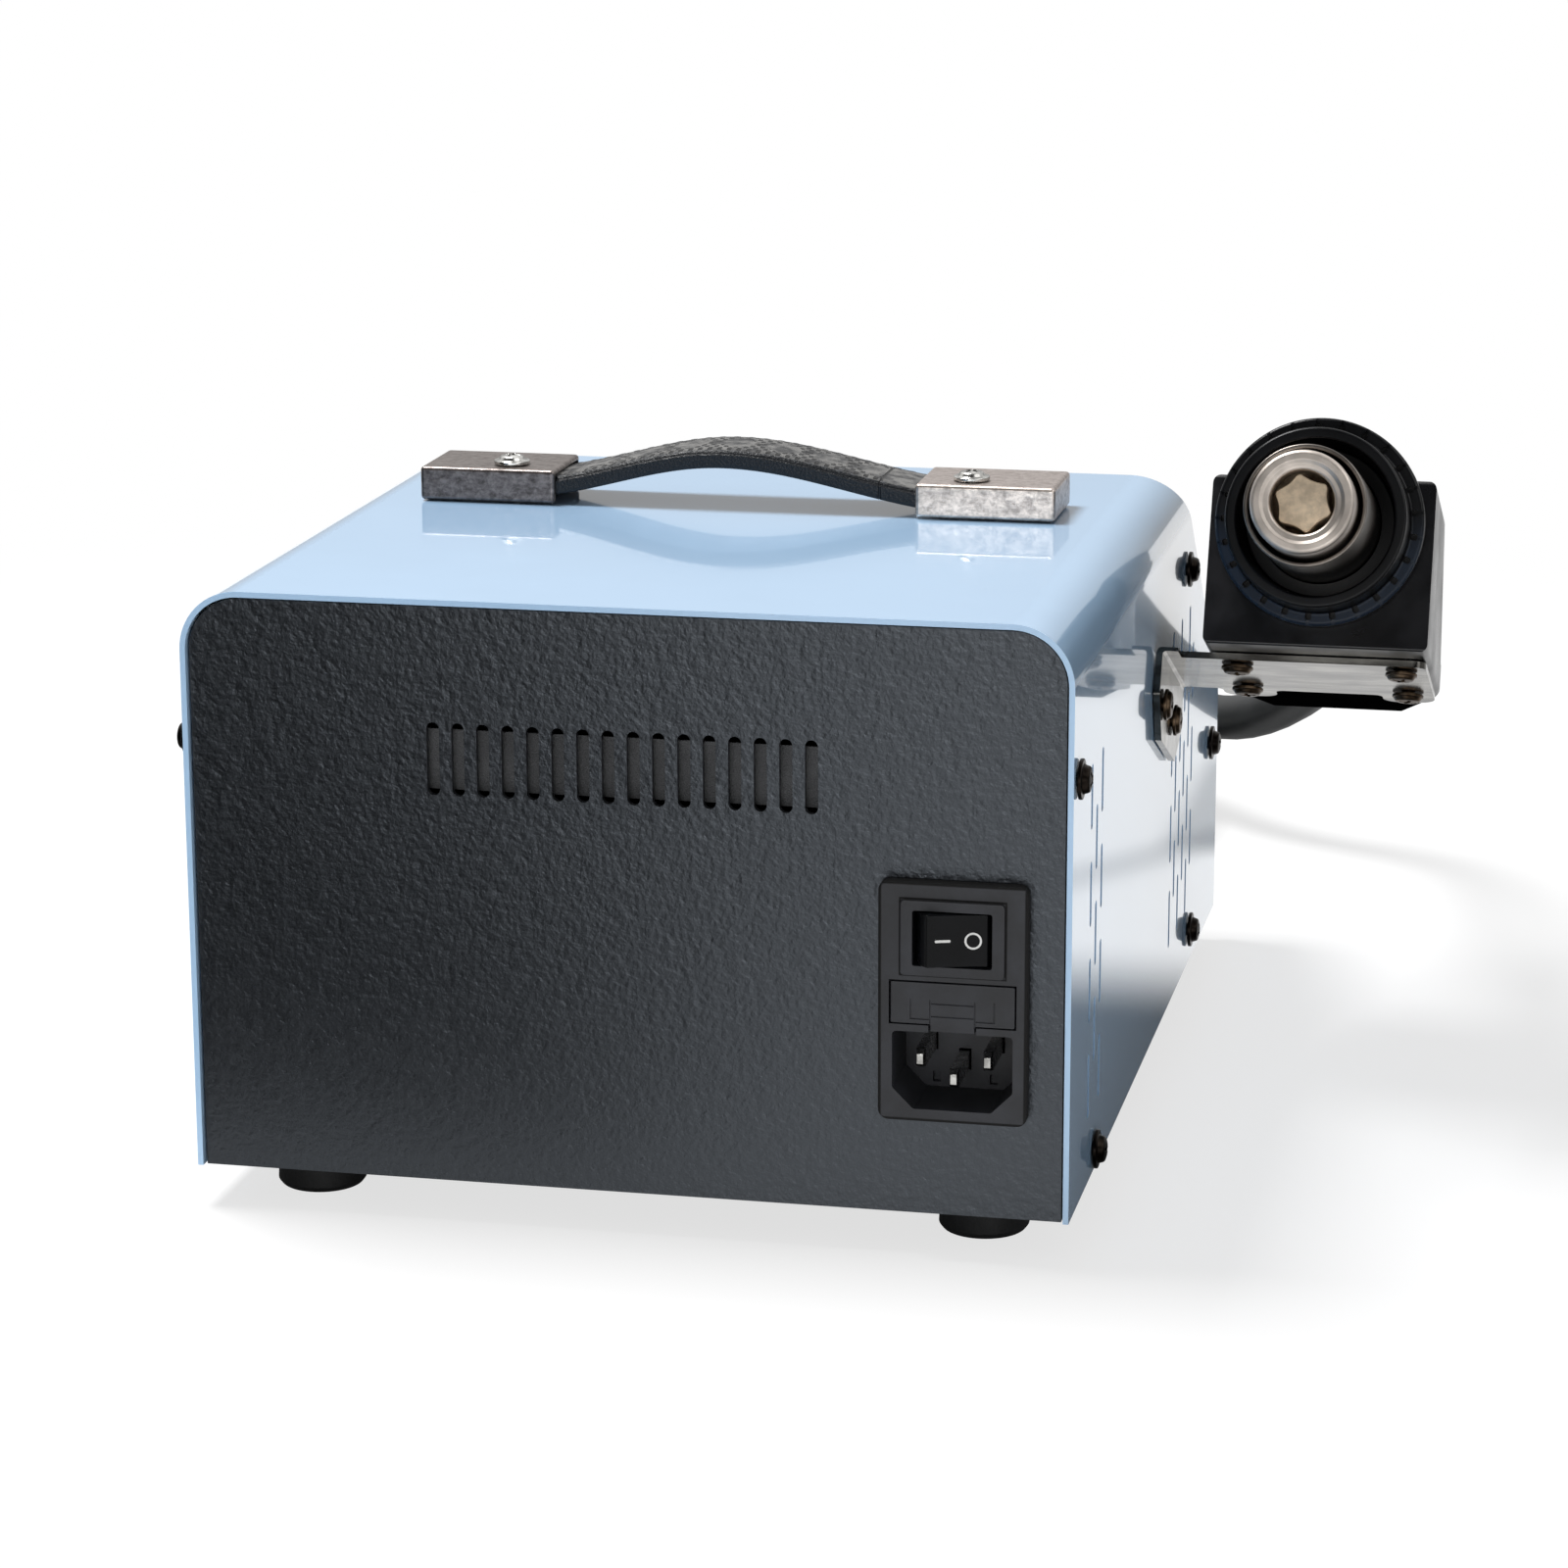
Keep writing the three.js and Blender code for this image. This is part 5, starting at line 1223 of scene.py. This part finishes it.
def build_handle():
    settings = chosen("handle")
    at = STATION @ moved(0, HANDLE_Y, 0)
    show("strap", strap_mesh(settings), finish("strap"), nodes=["handle_strap"], at=at)
    show("strap_stitches", stitch_mesh(settings), finish("thread"), at=at)
    screw = screw_mesh(length=13.2, flange=4.1, flange_high=0.8, head=3.1, head_high=1.15, recess=1.9)
    for side, word in ((-1, "left"), (1, "right")):
        show(f"strap_cap_{word}", cap_mesh(side), finish("cap"),
             nodes=[f"handle_cap_{word}"], at=at)
        spin = Matrix.Rotation(0.4 + side, 4, "Z")
        place = Matrix.Translation((side * CAP_SCREW_X, CAP_SCREW_Y, CAP_TOP + GAP))
        show(f"strap_screw_{word}", gathered([(screw, place @ spin)]), finish("bright"),
             nodes=[f"handle_screw_{word}"], at=at)


# Bracket and cradle, in the shelf's frame


def bracket_mesh():
    """A bent sheet: a shelf with two ears under the cradle, and a flange on the case's side."""
    inner, end = -HALF_WIDTH - GAP, -HALF_WIDTH - 60.4
    outer = inner - BRACKET_SHEET
    profile = rounded([
        (inner, -20), (inner, BRACKET_SHEET, 2.4), (end - 3, BRACKET_SHEET), (end - 3, 0), (outer, 0, 0.9),
        (outer, -20)], 0.0, 8)
    bent = prism(profile, -46, 9, "y")
    ears = [CRADLE_X - CRADLE_SCREW_SPREAD, CRADLE_X + CRADLE_SCREW_SPREAD]
    ear, ear_end, bay = 6.2, -42.7, -35
    plan = rounded([
        (10, 0), (end, 0, 3.0), (end, ear_end, 5.0), (ears[0] + ear, ear_end, 5.0), (ears[0] + ear, bay, 2.0),
        (ears[1] - ear, bay, 2.0), (ears[1] - ear, ear_end, 5.0), (ears[1] + ear, ear_end, 5.0),
        (ears[1] + ear, bay, 2.0), (10, bay)], 0.0, 6)
    flange = rounded([
        (7, 10, 0), (7, 0, 2.0), (7, -10, 1.0), (-2, -19, 1.0), (-29, -19, 1.0), (-38, -10, 1.0),
        (-36, 0, 2.0), (-36, 10, 0)], 0.0, 4)
    keep_flange = combined(prism(flange, inner - 5.0, inner + 5, "x"), [
        middle_block(inner, 8, -50, -0.05, -0.4, 20), middle_block(inner, 8, -1, 20, 0.9, 20)])
    shelf = combined(bent.copy(), [prism(plan, -0.6, 6)], "INTERSECT")
    plate = combined(shelf, [combined(bent, [keep_flange], "INTERSECT")], "UNION")
    holes = [prism(screw_hole(x, -s), -1, 3) for x in ears for s in SHELF_SCREW_ROWS]
    holes += [prism(screw_hole(-s, -down), outer - 1, inner + 1, "x") for s, down in BRACKET_SCREWS]
    return softened(combined(plate, [together(*holes)]), 0.28, 2, 42)


def cradle_mesh():
    """A block with sloped corners, a round channel for the gun and holes for its four screws."""
    half, low, high = 25.15, 1.8, 41
    side = rounded([
        (9.4, low, 0.6), (9.4, high, 1.2), (-24, high, 2.5), (-40, 9, 2.0), (-63, 9, 1.0),
        (-63, low, 1.6)], 0.0, 5)
    back = rounded([
        (-half, low, 1.6), (half, low, 1.6), (half, high, 2.4), (half - 4.4, high, 1.4),
        (half - 7.6, 39, 0.8), (7.6 - half, 39, 0.8), (4.4 - half, high, 1.4), (-half, high, 2.4)], 0.0, 6)
    body = combined(
        prism(side, CRADLE_X - half, CRADLE_X + half, "x"),
        [prism([(CRADLE_X + u, v) for u, v in back], -66, 12, "y")], "INTERSECT")
    cutters = []
    for way in (-1, 1):
        corner = [(half, -42), (half + 3, -42), (half + 3, -66), (half - 10, -66), (half - 10, -63)]
        cutters.append(prism([(CRADLE_X + way * u, v) for u, v in corner], -1, 44))
    radius = 18.3
    trough = [(radius * math.cos(math.pi * k / 48), radius * math.sin(math.pi * k / 48)) for k in range(49)]
    channel = prism([*trough, (-radius, -60), (radius, -60)], -130, 10)
    channel.transform(carried(GUN, SHELF))
    cutters.append(channel)
    cutters += [prism(screw_hole(CRADLE_X + way * CRADLE_SCREW_SPREAD, -s), 0, 6.3) for way in (-1, 1)
                for s in SHELF_SCREW_ROWS]
    return softened(combined(body, cutters), 0.45, 3, 42)


def build_holder():
    show("bracket", bracket_mesh(), finish("bracket"), nodes=["holder_bracket"], at=SHELF)
    show("cradle", cradle_mesh(), finish("cradle"), nodes=["gun_cradle"], at=SHELF)
    # A black pad under the cradle's overhang: painted shade.
    shade_sheet = [(-23.9, -43.2), (23.9, -43.2), (15.2, -62.0), (-15.2, -62.0)]
    pad = prism([(CRADLE_X + u, v) for u, v in shade_sheet], 1.45, 1.85)
    show("cradle_shade_pad", softened(pad, 0.1), finish("shade_sheet"), at=SHELF)


# Gun, in its own frame


def collar_mesh(settings):
    bore, rim, neck, high = 13.7, 23.4, 20.1, 10.0
    body = turned(rounded([
        (bore, -4.0, 0.1), (rim, -4.0, 0.5), (rim, 0.0, 0.9), (neck + 0.3, 0.0, 0.7), (neck, high, 0.7),
        (17.6, high, 0.5), (16.8, -2.8, 0.5), (bore, -2.8, 0.1)], 0.0, 5), 144)
    pit = prism(oblong(1.5, 1.4, 0.4, 21.3, 0, 3), -1.9, 1)
    groove = block(21.9, 25, -0.4, 0.4, -0.45, 1)
    cutters = [ringed(pit, settings.notches), ringed(groove, settings.notches)]
    return softened(combined(body, cutters), 0.12, 1, 55)


def handle_mesh():
    end = BOOT_END + BOOT_LENGTH + GAP
    grooves = []
    for k in range(4):
        z = HANDLE_FRONT - 76 - 5 * k
        grooves += [(15.8, z + 0.9, 0.2), (15.2, z + 0.4, 0.2), (15.2, z - 0.4, 0.2), (15.8, z - 0.9, 0.2)]
    return lathed([
        (0, -18.6), (13.7, -18.6, 0.3), (13.7, HANDLE_FRONT, 0.3), (18, HANDLE_FRONT, 0.8), (18, -62.3, 8.0),
        (15.8, -74.3, 8.0), *grooves, (15.8, end + 16, 6.0), (14, end + 3, 1.5), (12.3, end, 1.0),
        (0, end)], 96, 6)


def nozzle_mesh():
    return turned(rounded([
        (9.3, 8), (12.1, 8, 0.3), (12.1, 12, 0.4), (11.3, 12.8, 0.4), (11.3, 43, 2.2), (9.2, 43.0, 0.6),
        (8.4, 42.6, 0.6), (6.95, 42.5, 0.9), (6.95, 36.5, 0.4), (9.3, 35)], 0.0, 8), 96)


def core_mesh(settings):
    """A star of rounded lobes with hollow sides, on a round foot inside the nozzle."""
    lobes, tip, waist = settings.lobes, 6.2, 5.1
    corners = []
    for k in range(2 * lobes):
        angle = math.pi * k / lobes + math.radians(40)
        radius = tip + 0.35 if k % 2 == 0 else waist
        corners.append((radius * math.cos(angle), radius * math.sin(angle), 0.9 if k % 2 == 0 else 7.0))
    star = softened(prism(rounded(corners, 0.0, 6), 26, 40.2), 0.3, 3, 50)
    foot = lathed([(0, 14), (9, 14, 0.4), (9, 27, 0.6), (0, 27)], 48, 3)
    return combined(star, [foot], "UNION")


def boot_mesh():
    front = BOOT_END + BOOT_LENGTH
    ribs = []
    for k in range(4):
        z = front - 6.0 - 3.6 * k
        r = 10.1 - 0.45 * k
        ribs += [(r, z, 0.3), (r - 0.9, z - 0.9, 0.3), (r - 0.9, z - 1.9, 0.3), (r - 0.35, z - 2.6, 0.3)]
    return lathed([
        (0, front), (11, front, 0.6), (11, front - 4, 0.8), *ribs, (8.4, BOOT_END, 0.6), (0, BOOT_END)], 64)


def build_gun():
    settings = chosen("gun")
    sleeve = [(12.4, -18.3), (13.4, -18.3), (13.4, 35.2, 0.4), (12.4, 35.2, 0.4)]
    for name, mesh, look, slot, node in (
            ("collar", collar_mesh(settings), "collar", "black_plastic", "gun_collar"),
            ("grip", handle_mesh(), "grip", "black_plastic", "gun_handle"),
            ("heater_sleeve", turned(rounded(sleeve), 96), "sleeve", "heater_steel", "heater_tube"),
            ("nozzle_lip", nozzle_mesh(), "heater", "heater_steel", "nozzle"),
            ("core", core_mesh(settings), "ceramic", "core_ceramic", "ceramic_core"),
            ("boot", boot_mesh(), "hose", "hose_rubber", "gun_boot")):
        show(name, mesh, finish(look), "gun", [node], GUN)


# Hose: from the gland in a slow fall to the coil, round it, and up to the gun


def guided(guides, count):
    """Points along the smooth curve that a row of guide points pulls."""
    points = []
    for i in range(count + 1):
        level = list(guides)
        while len(level) > 1:
            level = [a.lerp(b, i / count) for a, b in zip(level, level[1:])]
        points.append(level[0])
    return points


def hose_route(settings):
    radius, pitch = settings.coil_radius / MM, settings.coil_pitch / MM
    straight = settings.diameter / MM
    low = straight / 2 + 0.1
    centre = Vector((*COIL_CENTRE, 0.0))

    def coil_point(degrees):
        turn, part = divmod(degrees / 360, 1.0)
        climb = 0.0 if part < 0.5 else (1 - math.cos((part - 0.5) * 2 * math.pi)) / 2
        angle = -math.radians(degrees)
        height = low + pitch * (turn + climb)
        return centre + Vector((radius * math.cos(angle), radius * math.sin(angle), height))

    total, step, run = 360 * 2 + 135, 7.5, 60.0
    coil = [coil_point(step * k) for k in range(int(total / step) + 1)]
    end = math.radians(total)
    leave = Vector((-math.sin(end), -math.cos(end), 0))
    coil_top = coil[-1] + leave * straight
    foot = coil[0] + Vector((0, straight, 0))
    fall = []
    for k in range(13):
        part = k / 12
        drop = 2 * part ** 2 if part < 0.5 else 1 - 2 * (1 - part) ** 2
        height = GLAND.z + (foot.z - GLAND.z) * drop
        fall.append(Vector((GLAND.x, GLAND.y - straight - part * run, height)))
    to_station = carried(GUN)

    def gun_exit(beyond):
        return to_station @ Vector((0, 0, BOOT_END - GAP - beyond))

    rise = guided([
        gun_exit(0), gun_exit(54), gun_exit(114), centre + Vector((-98, 44.3, 16.5)),
        coil_top + leave * 16.3, coil_top + leave * 16.3, coil_top + leave * 0.3], 24)
    return [GLAND, *fall, *coil, coil_top, *reversed(rise)]


def thinned(points, least):
    """The points without those that lie closer than the least distance."""
    kept = [points[0]]
    for point in points[1:-1]:
        if (point - kept[-1]).length >= least and (point - points[-1]).length >= least:
            kept.append(point)
    return kept + [points[-1]]


def build_hose():
    settings = chosen("hose")
    route = thinned([Vector(point) for point in hose_route(settings)], 3.5)
    place = [(STATION @ (point * MM)) for point in route]
    curve = bpy.data.curves.new("hose", "CURVE")
    curve.dimensions = "3D"
    curve.bevel_depth = settings.diameter / 2
    curve.bevel_resolution = 6
    curve.use_fill_caps = True
    spline = curve.splines.new("POLY")
    spline.points.add(len(place) - 1)
    for point, at in zip(spline.points, place):
        point.co = (*at, 1.0)
    spline.use_smooth = True
    curve.materials.append(finish("hose"))
    hose = bpy.data.objects.new("air_hose", curve)
    bpy.context.scene.collection.objects.link(hose)
    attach(hose, "station")
    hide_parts("hose_run_gun", "hose_coil", "hose_run_station")
    length = sum((b - a).length for a, b in zip(place, place[1:]))

    nut = turned(rounded([
        (4, -18), (7.4, -18, 0.5), (8.2, -7), (10.1, -7, 0.8), (10.1, -0.3, 0.5), (8.2, -0.3), (8.2, 12),
        (4, 12)]), 72)
    ribs = ringed(block(9.6, 10.4, -0.7, 0.7, -6.4, -0.9), 18)
    gland = softened(combined(nut, [ribs], "UNION"), 0.15, 1, 55)
    at = STATION @ moved(GLAND.x, -DEPTH, GLAND.z) @ Matrix.Rotation(-math.pi / 2, 4, "X")
    show("gland_nut", gland, finish("grip"), nodes=["hose_gland"], at=at)


# Front


BUTTONS = ("preset_button", "heat_down_button", "heat_up_button", "air_down_button", "air_up_button")
BUTTON_PITCH = 27.0
BUTTON_UP = 25.0
WINDOW_UP = 68.0
BOARD_UP = 48.5


def front_sheet_mesh():
    """The upright front and the slope above it, with openings for window, buttons and hose."""
    top = TOP - COVER_SHEET - GAP
    face, back = FRONT_INSET, FRONT_INSET + PANEL_SHEET
    profile = rounded([
        (-DEPTH + face, BASE), (*knee_point(face), 3.0), slope_point(face, top), slope_point(back, top),
        (*knee_point(back), 1.5), (-DEPTH + back, BASE)], 0.0, 6)
    limit = prism(arch(PANEL_HALF, BASE - 1, top, COVER_BEND - COVER_SHEET - GAP), -DEPTH - 1, 0, "y")
    sheet = combined(prism(profile, -PANEL_HALF, PANEL_HALF, "x"), [limit], "INTERSECT")
    cutters = [prism(oblong(96, 36, 1.0, 0, WINDOW_UP), -5, 2)]
    cutters += [prism(disc(5.3, (i - 2) * BUTTON_PITCH, BUTTON_UP, 40), -5, 2) for i in range(5)]
    for cutter in cutters:
        cutter.transform(carried(PANEL_SLOPE))
    cutters.append(prism(disc(8.5, GLAND.x, GLAND.z, 40), -DEPTH - 2, -DEPTH + 8, "y"))
    return softened(combined(sheet, cutters), 0.3, 2, 42)


def front_flange_outline():
    start, deep = FRONT_INSET + PANEL_SHEET + FLANGE_PLAY, 22.0
    top = TOP - COVER_BEND
    return [
        (-DEPTH + start, FLANGE_LOW), knee_point(start), slope_point(start, top), slope_point(deep, top),
        knee_point(deep), (-DEPTH + deep, FLANGE_LOW)]


def digit_mesh(width, height, bar):
    """Seven segments of one leaning digit, lying flat."""
    w, h, b = width / 2, height / 2, bar / 2
    flat = [(-w + b, 0), (-w + 2 * b, b), (w - 2 * b, b), (w - b, 0), (w - 2 * b, -b), (-w + 2 * b, -b)]
    upright = [(0, b), (b, 2 * b), (b, h - 2 * b), (0, h - b), (-b, h - 2 * b), (-b, 2 * b)]
    segments = [[(u, v + shift) for u, v in flat] for shift in (-h + b, 0, h - b)]
    for shift in (-w + b, w - b):
        segments.append([(u + shift, v) for u, v in upright])
        segments.append([(u + shift, v - h) for u, v in upright])
    leaning = [[(0.96 * u + 0.1 * v, 0.97 * v) for u, v in segment] for segment in segments]
    return together(*[prism(segment, 0, 0.05) for segment in leaning])


def sign_mesh(kind):
    height = 0.08
    if kind == "minus":
        return prism(oblong(3.4, 0.8, 0.3, 0, 0, 3), 0, height)
    if kind == "plus":
        return prism(cross(1.7, 0.4), 0, height)
    return prism(disc(1.6), 0, height, holes=[disc(0.9)])


def build_front():
    flanges = side_flanges(front_flange_outline(), SIDE_SCREWS[3:])
    sheet = together(front_sheet_mesh(), *flanges)
    show("front_sheet", sheet, finish("coat"), nodes=["front_panel"])
    boss = lathed([(0, -10.7), (3.2, -10.7, 0.3), (3.2, -2.5, 0.2), (0, -2.5)], 24, 3)
    bosses = [(boss, Matrix.Translation((u, BOARD_UP + v, 0))) for u in (-71, 71) for v in (-34, 34)]
    show("board_bosses", gathered(bosses), finish("coat"), at=PANEL_SLOPE)

    pane = softened(prism(oblong(95.4, 35.4, 0.8, 0, WINDOW_UP), -4.0, -1.0), 0.3, 2)
    lip = prism(oblong(102, 42, 1.5, 0, WINDOW_UP), -4.0, -2.8)
    show("window_pane", combined(pane, [lip], "UNION"), finish("window"),
         nodes=["display_window"], at=PANEL_SLOPE)
    digit = digit_mesh(10.0, 18.0, 2.0)
    digits = [(digit, Matrix.Translation((side * 23 + step * 12.4, WINDOW_UP, -1.0)))
              for side in (-1, 1) for step in (-1, 0, 1)]
    show("digit_segments", gathered(digits), finish("unlit"), at=PANEL_SLOPE)

    signs = ("ring", "minus", "plus", "minus", "plus")
    for i, (name, sign) in enumerate(zip(BUTTONS, signs)):
        at = PANEL_SLOPE @ moved((i - 2) * BUTTON_PITCH, BUTTON_UP, 0)
        cap = lathed([
            (0, -5.9), (2, -5.9), (2, -4.0), (6.3, -4.0), (6.3, -2.8), (5, -2.8), (5, 1.4, 0.8),
            (0, 1.15)], 48, 5)
        show(f"{name}_cap", cap, finish("button"), name, [name], at)
        mark = sign_mesh(sign)
        mark.transform(Matrix.Translation((0, 0, 1.2)))
        show(f"{name}_mark", mark, finish("white"), name, at=at)


# Inside


def build_inside():
    floor = BASE + 1.8
    x, y = 42.0, -80.0
    left, right, top = x - 31, x + 31, floor + 56
    outline = [(left, floor), (right, floor), (right, top), (left, top)]
    window = [(-18, 10), (-6, 10), (-6, 46), (-18, 46)]
    windows = [[(x + sign * u, floor + v) for u, v in window] for sign in (-1, 1)]
    core = softened(prism(outline, y - 13, y + 13, "y", windows), 0.4)
    foot = softened(middle_block(x, 39, y - 25, y + 25, floor, floor + 1.98), 0.3)
    show("transformer_core", together(core, foot), finish("laminations"),
         nodes=["transformer"])
    coil = softened(middle_block(x, 17.5, y - 22, y + 22, floor + 10.5, floor + 45.5), 5.0, 5)
    hole = middle_block(x, 5.8, y - 13.1, y + 13.1, floor + 2, floor + 54)
    show("transformer_winding", combined(coil, [hole]), finish("wire"))

    kept = {
        "base_tray": "coat", "control_board": "board", "air_duct": "hose", "blower_housing": "grip",
        "blower_wheel": "grip",
    }
    for name, look in kept.items():
        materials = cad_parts[name].data.materials
        materials.clear()
        materials.append(finish(look))


# Camera and stage


def build_camera():
    """The photograph's own place and angle, in the station's frame."""
    right = Vector((-0.977632, -0.210301, -0.002885))
    forward = Vector((0.204637, -0.947953, -0.243945))
    up = Vector((0.048568, -0.239079, 0.969785))
    turn = Matrix((right, up, -forward)).transposed().to_4x4()
    camera_data = bpy.data.cameras.new("view")
    camera_data.sensor_width = 36.0
    camera_data.lens = 103.405
    camera_data.clip_end = 30.0
    camera = bpy.data.objects.new("view", camera_data)
    camera.matrix_world = STATION @ moved(-221.893, 867.950, 322.807) @ turn
    bpy.context.scene.collection.objects.link(camera)
    bpy.context.scene.camera = camera


def area_lamp(name, at, towards, size, power):
    data = bpy.data.lights.new(name, "AREA")
    data.shape = "RECTANGLE"
    data.size, data.size_y = size
    data.energy = power
    lamp = bpy.data.objects.new(name, data)
    lamp.location = at
    lamp.rotation_euler = (Vector(towards) - Vector(at)).to_track_quat("-Z", "Y").to_euler()
    bpy.context.scene.collection.objects.link(lamp)


def floor_finish():
    """White paper: lit near the object, pure white far off. Mirrors see it glow, with soft painted shadows.
    """
    look = Finish("floor", {"Base Color": (0.9, 0.9, 0.9), "Roughness": 0.9, "Specular IOR Level": 0.0})
    x, y, _ = look.axes()
    rays = look.node("ShaderNodeLightPath")
    seen = Flow(look, rays.outputs["Is Camera Ray"])
    mirrored = Flow(look, rays.outputs["Is Glossy Ray"])
    far = (x * x + y * y).over(0.02, 0.5, 0.72, 1.0)
    across = x - STATION.translation.x
    along = y - STATION.translation.y
    # Painted shadows that only mirrors see: a dark strip beside the case, a soft streak, a small patch, and a
    # darker area off the rear panel towards +x.
    beside = along.over(-0.245, -0.172) * along.over(-0.01, 0.03, 1.0, 0.0)
    streak = abs(along + 0.32 + 1.5 * (across + 0.125)).over(0.0, 0.03, 0.3, 0.0)
    patch = across.over(-0.123, -0.114) * along.over(-0.46, -0.43) * along.over(-0.35, -0.325, 0.45, 0.0)
    front = along.over(0.0, 0.1) * (across - 0.25 * along).over(-0.05, 0.03)
    shade = (1 - 0.93 * beside) * (1 - streak) * (1 - patch) * (1 - front)
    colour = look.blend(mirrored, (1, 1, 1), look.grey(shade))
    glow = look.flow("ShaderNodeEmission", sockets={"Color": colour})
    mixed = look.flow("ShaderNodeMixShader", sockets={
        0: seen * far + mirrored, 1: Flow(look, look.shader.outputs[0]), 2: glow})
    output = next(node for node in look.tree.nodes if node.type == "OUTPUT_MATERIAL")
    look.feed(output.inputs["Surface"], mixed)
    return look.material


class Room(Finish):
    """The world's nodes, with the short ways of a finish."""

    def __init__(self, world):
        world.use_nodes = True
        self.tree = world.node_tree
        self.tree.nodes.clear()
        self.place = self.flow("ShaderNodeTexCoord", output="Generated")


def build_room(settings):
    """White for the camera, dim for soft light. Mirrors see it dark behind the camera, but for a low card."""
    world = bpy.data.worlds.new("room")
    bpy.context.scene.world = world
    room = Room(world)
    rays = room.node("ShaderNodeLightPath")
    x, y, z = room.axes()
    sky = z.over(0.15, 0.55, 0.42, 1.0) * (y + 0.35 * z).over(0.1, 0.5, 1.0, settings.dark_side)
    card = (0.32 * y - x).over(0.05, 0.2) * y.over(0.4, 0.6) * z.over(0.2, 0.36, 1.0, 0.0)
    softbox = (0.29 * y - 0.69 * x + 0.66 * z).over(0.91, 0.97)
    mirrored = Flow(room, rays.outputs["Is Glossy Ray"])
    through = Flow(room, rays.outputs["Is Transmission Ray"])
    seen = Flow(room, rays.outputs["Is Camera Ray"])
    strength = seen + through + mirrored * (sky + settings.card * card + settings.softbox * softbox) + (
        1 - seen - through - mirrored) * settings.world_light
    light = room.flow("ShaderNodeBackground", sockets={"Color": (1, 1, 1), "Strength": strength})
    room.node("ShaderNodeOutputWorld", sockets={"Surface": light})


def build_stage():
    settings = chosen("stage")
    bpy.context.scene.view_settings.view_transform = "Standard"
    floor_mesh = solid([(-4, -4, 0), (4, -4, 0), (4, 4, 0), (-4, 4, 0)], [(0, 1, 2, 3)])
    floor_mesh.materials.append(floor_finish())
    floor = bpy.data.objects.new("floor", floor_mesh)
    bpy.context.scene.collection.objects.link(floor)
    build_room(settings)
    area_lamp("key", (0.55, -0.07, 1.5), (0, 0, 0.05), (0.5, 0.5), settings.key_power)
    area_lamp("sheen", (0.05, 1.6, 0.22), (0, 0.1, 0.06), (0.5, 0.25), settings.sheen_power)


# Operators


class STATION_OT_camera(bpy.types.Operator):
    """Put the camera where the photograph was taken"""

    bl_idname = "station.camera"
    bl_label = "Camera"

    def execute(self, context):
        build_camera()
        return {"FINISHED"}


class STATION_OT_hose(bpy.types.Operator):
    """Lay the air hose and its gland"""

    bl_idname = "station.hose"
    bl_label = "Hose"

    def execute(self, context):
        build_hose()
        return {"FINISHED"}


class STATION_OT_case(bpy.types.Operator):
    """Make the cover and the rear panel"""

    bl_idname = "station.case"
    bl_label = "Case"

    def execute(self, context):
        build_case()
        return {"FINISHED"}


class STATION_OT_feet(bpy.types.Operator):
    """Make the rubber feet"""

    bl_idname = "station.feet"
    bl_label = "Feet"

    def execute(self, context):
        build_feet()
        return {"FINISHED"}


class STATION_OT_screws(bpy.types.Operator):
    """Make the screws of the case and the holder"""

    bl_idname = "station.screws"
    bl_label = "Screws"

    def execute(self, context):
        build_screws()
        return {"FINISHED"}


class STATION_OT_inlet(bpy.types.Operator):
    """Make the mains inlet, its rocker and its fuse drawer"""

    bl_idname = "station.inlet"
    bl_label = "Inlet"

    def execute(self, context):
        build_inlet()
        return {"FINISHED"}


class STATION_OT_handle(bpy.types.Operator):
    """Make the strap handle"""

    bl_idname = "station.handle"
    bl_label = "Handle"

    def execute(self, context):
        build_handle()
        return {"FINISHED"}


class STATION_OT_holder(bpy.types.Operator):
    """Make the bracket and the cradle"""

    bl_idname = "station.holder"
    bl_label = "Holder"

    def execute(self, context):
        build_holder()
        return {"FINISHED"}


class STATION_OT_gun(bpy.types.Operator):
    """Make the hot air gun"""

    bl_idname = "station.gun"
    bl_label = "Gun"

    def execute(self, context):
        build_gun()
        return {"FINISHED"}


class STATION_OT_front(bpy.types.Operator):
    """Make the front panel, window and buttons"""

    bl_idname = "station.front"
    bl_label = "Front"

    def execute(self, context):
        build_front()
        return {"FINISHED"}


class STATION_OT_inside(bpy.types.Operator):
    """Dress the pieces inside the case"""

    bl_idname = "station.inside"
    bl_label = "Inside"

    def execute(self, context):
        build_inside()
        return {"FINISHED"}


class STATION_OT_stage(bpy.types.Operator):
    """Make the floor, the light and the room"""

    bl_idname = "station.stage"
    bl_label = "Stage"

    def execute(self, context):
        build_stage()
        return {"FINISHED"}


OPERATORS = (
    STATION_OT_camera, STATION_OT_hose, STATION_OT_case, STATION_OT_feet, STATION_OT_screws,
    STATION_OT_inlet, STATION_OT_handle, STATION_OT_holder, STATION_OT_gun, STATION_OT_front,
    STATION_OT_inside, STATION_OT_stage,
)


class STATION_PT_panel(bpy.types.Panel):
    """Sizes, colours and makers of the station."""

    bl_label = "Station"
    bl_idname = "STATION_PT_panel"
    bl_space_type = "VIEW_3D"
    bl_region_type = "UI"
    bl_category = "Station"

    def draw(self, context):
        for name, group in SETTINGS.items():
            part = self.layout.box()
            part.label(text=name.removeprefix("station_").capitalize())
            for key in group.__annotations__:
                part.prop(getattr(context.scene, name), key)
        for maker in OPERATORS:
            self.layout.operator(maker.bl_idname)


CLASSES = [*SETTINGS.values(), *OPERATORS, STATION_PT_panel]


def register():
    for cls in CLASSES:
        bpy.utils.register_class(cls)
    for name, group in SETTINGS.items():
        setattr(bpy.types.Scene, name, PointerProperty(type=group))


def unregister():
    for name in SETTINGS:
        delattr(bpy.types.Scene, name)
    for cls in reversed(CLASSES):
        bpy.utils.unregister_class(cls)


def main():
    register()
    for maker in OPERATORS:
        getattr(bpy.ops.station, maker.bl_idname.removeprefix("station."))()
    bpy.context.view_layer.update()


if __name__ == "__main__":
    main()
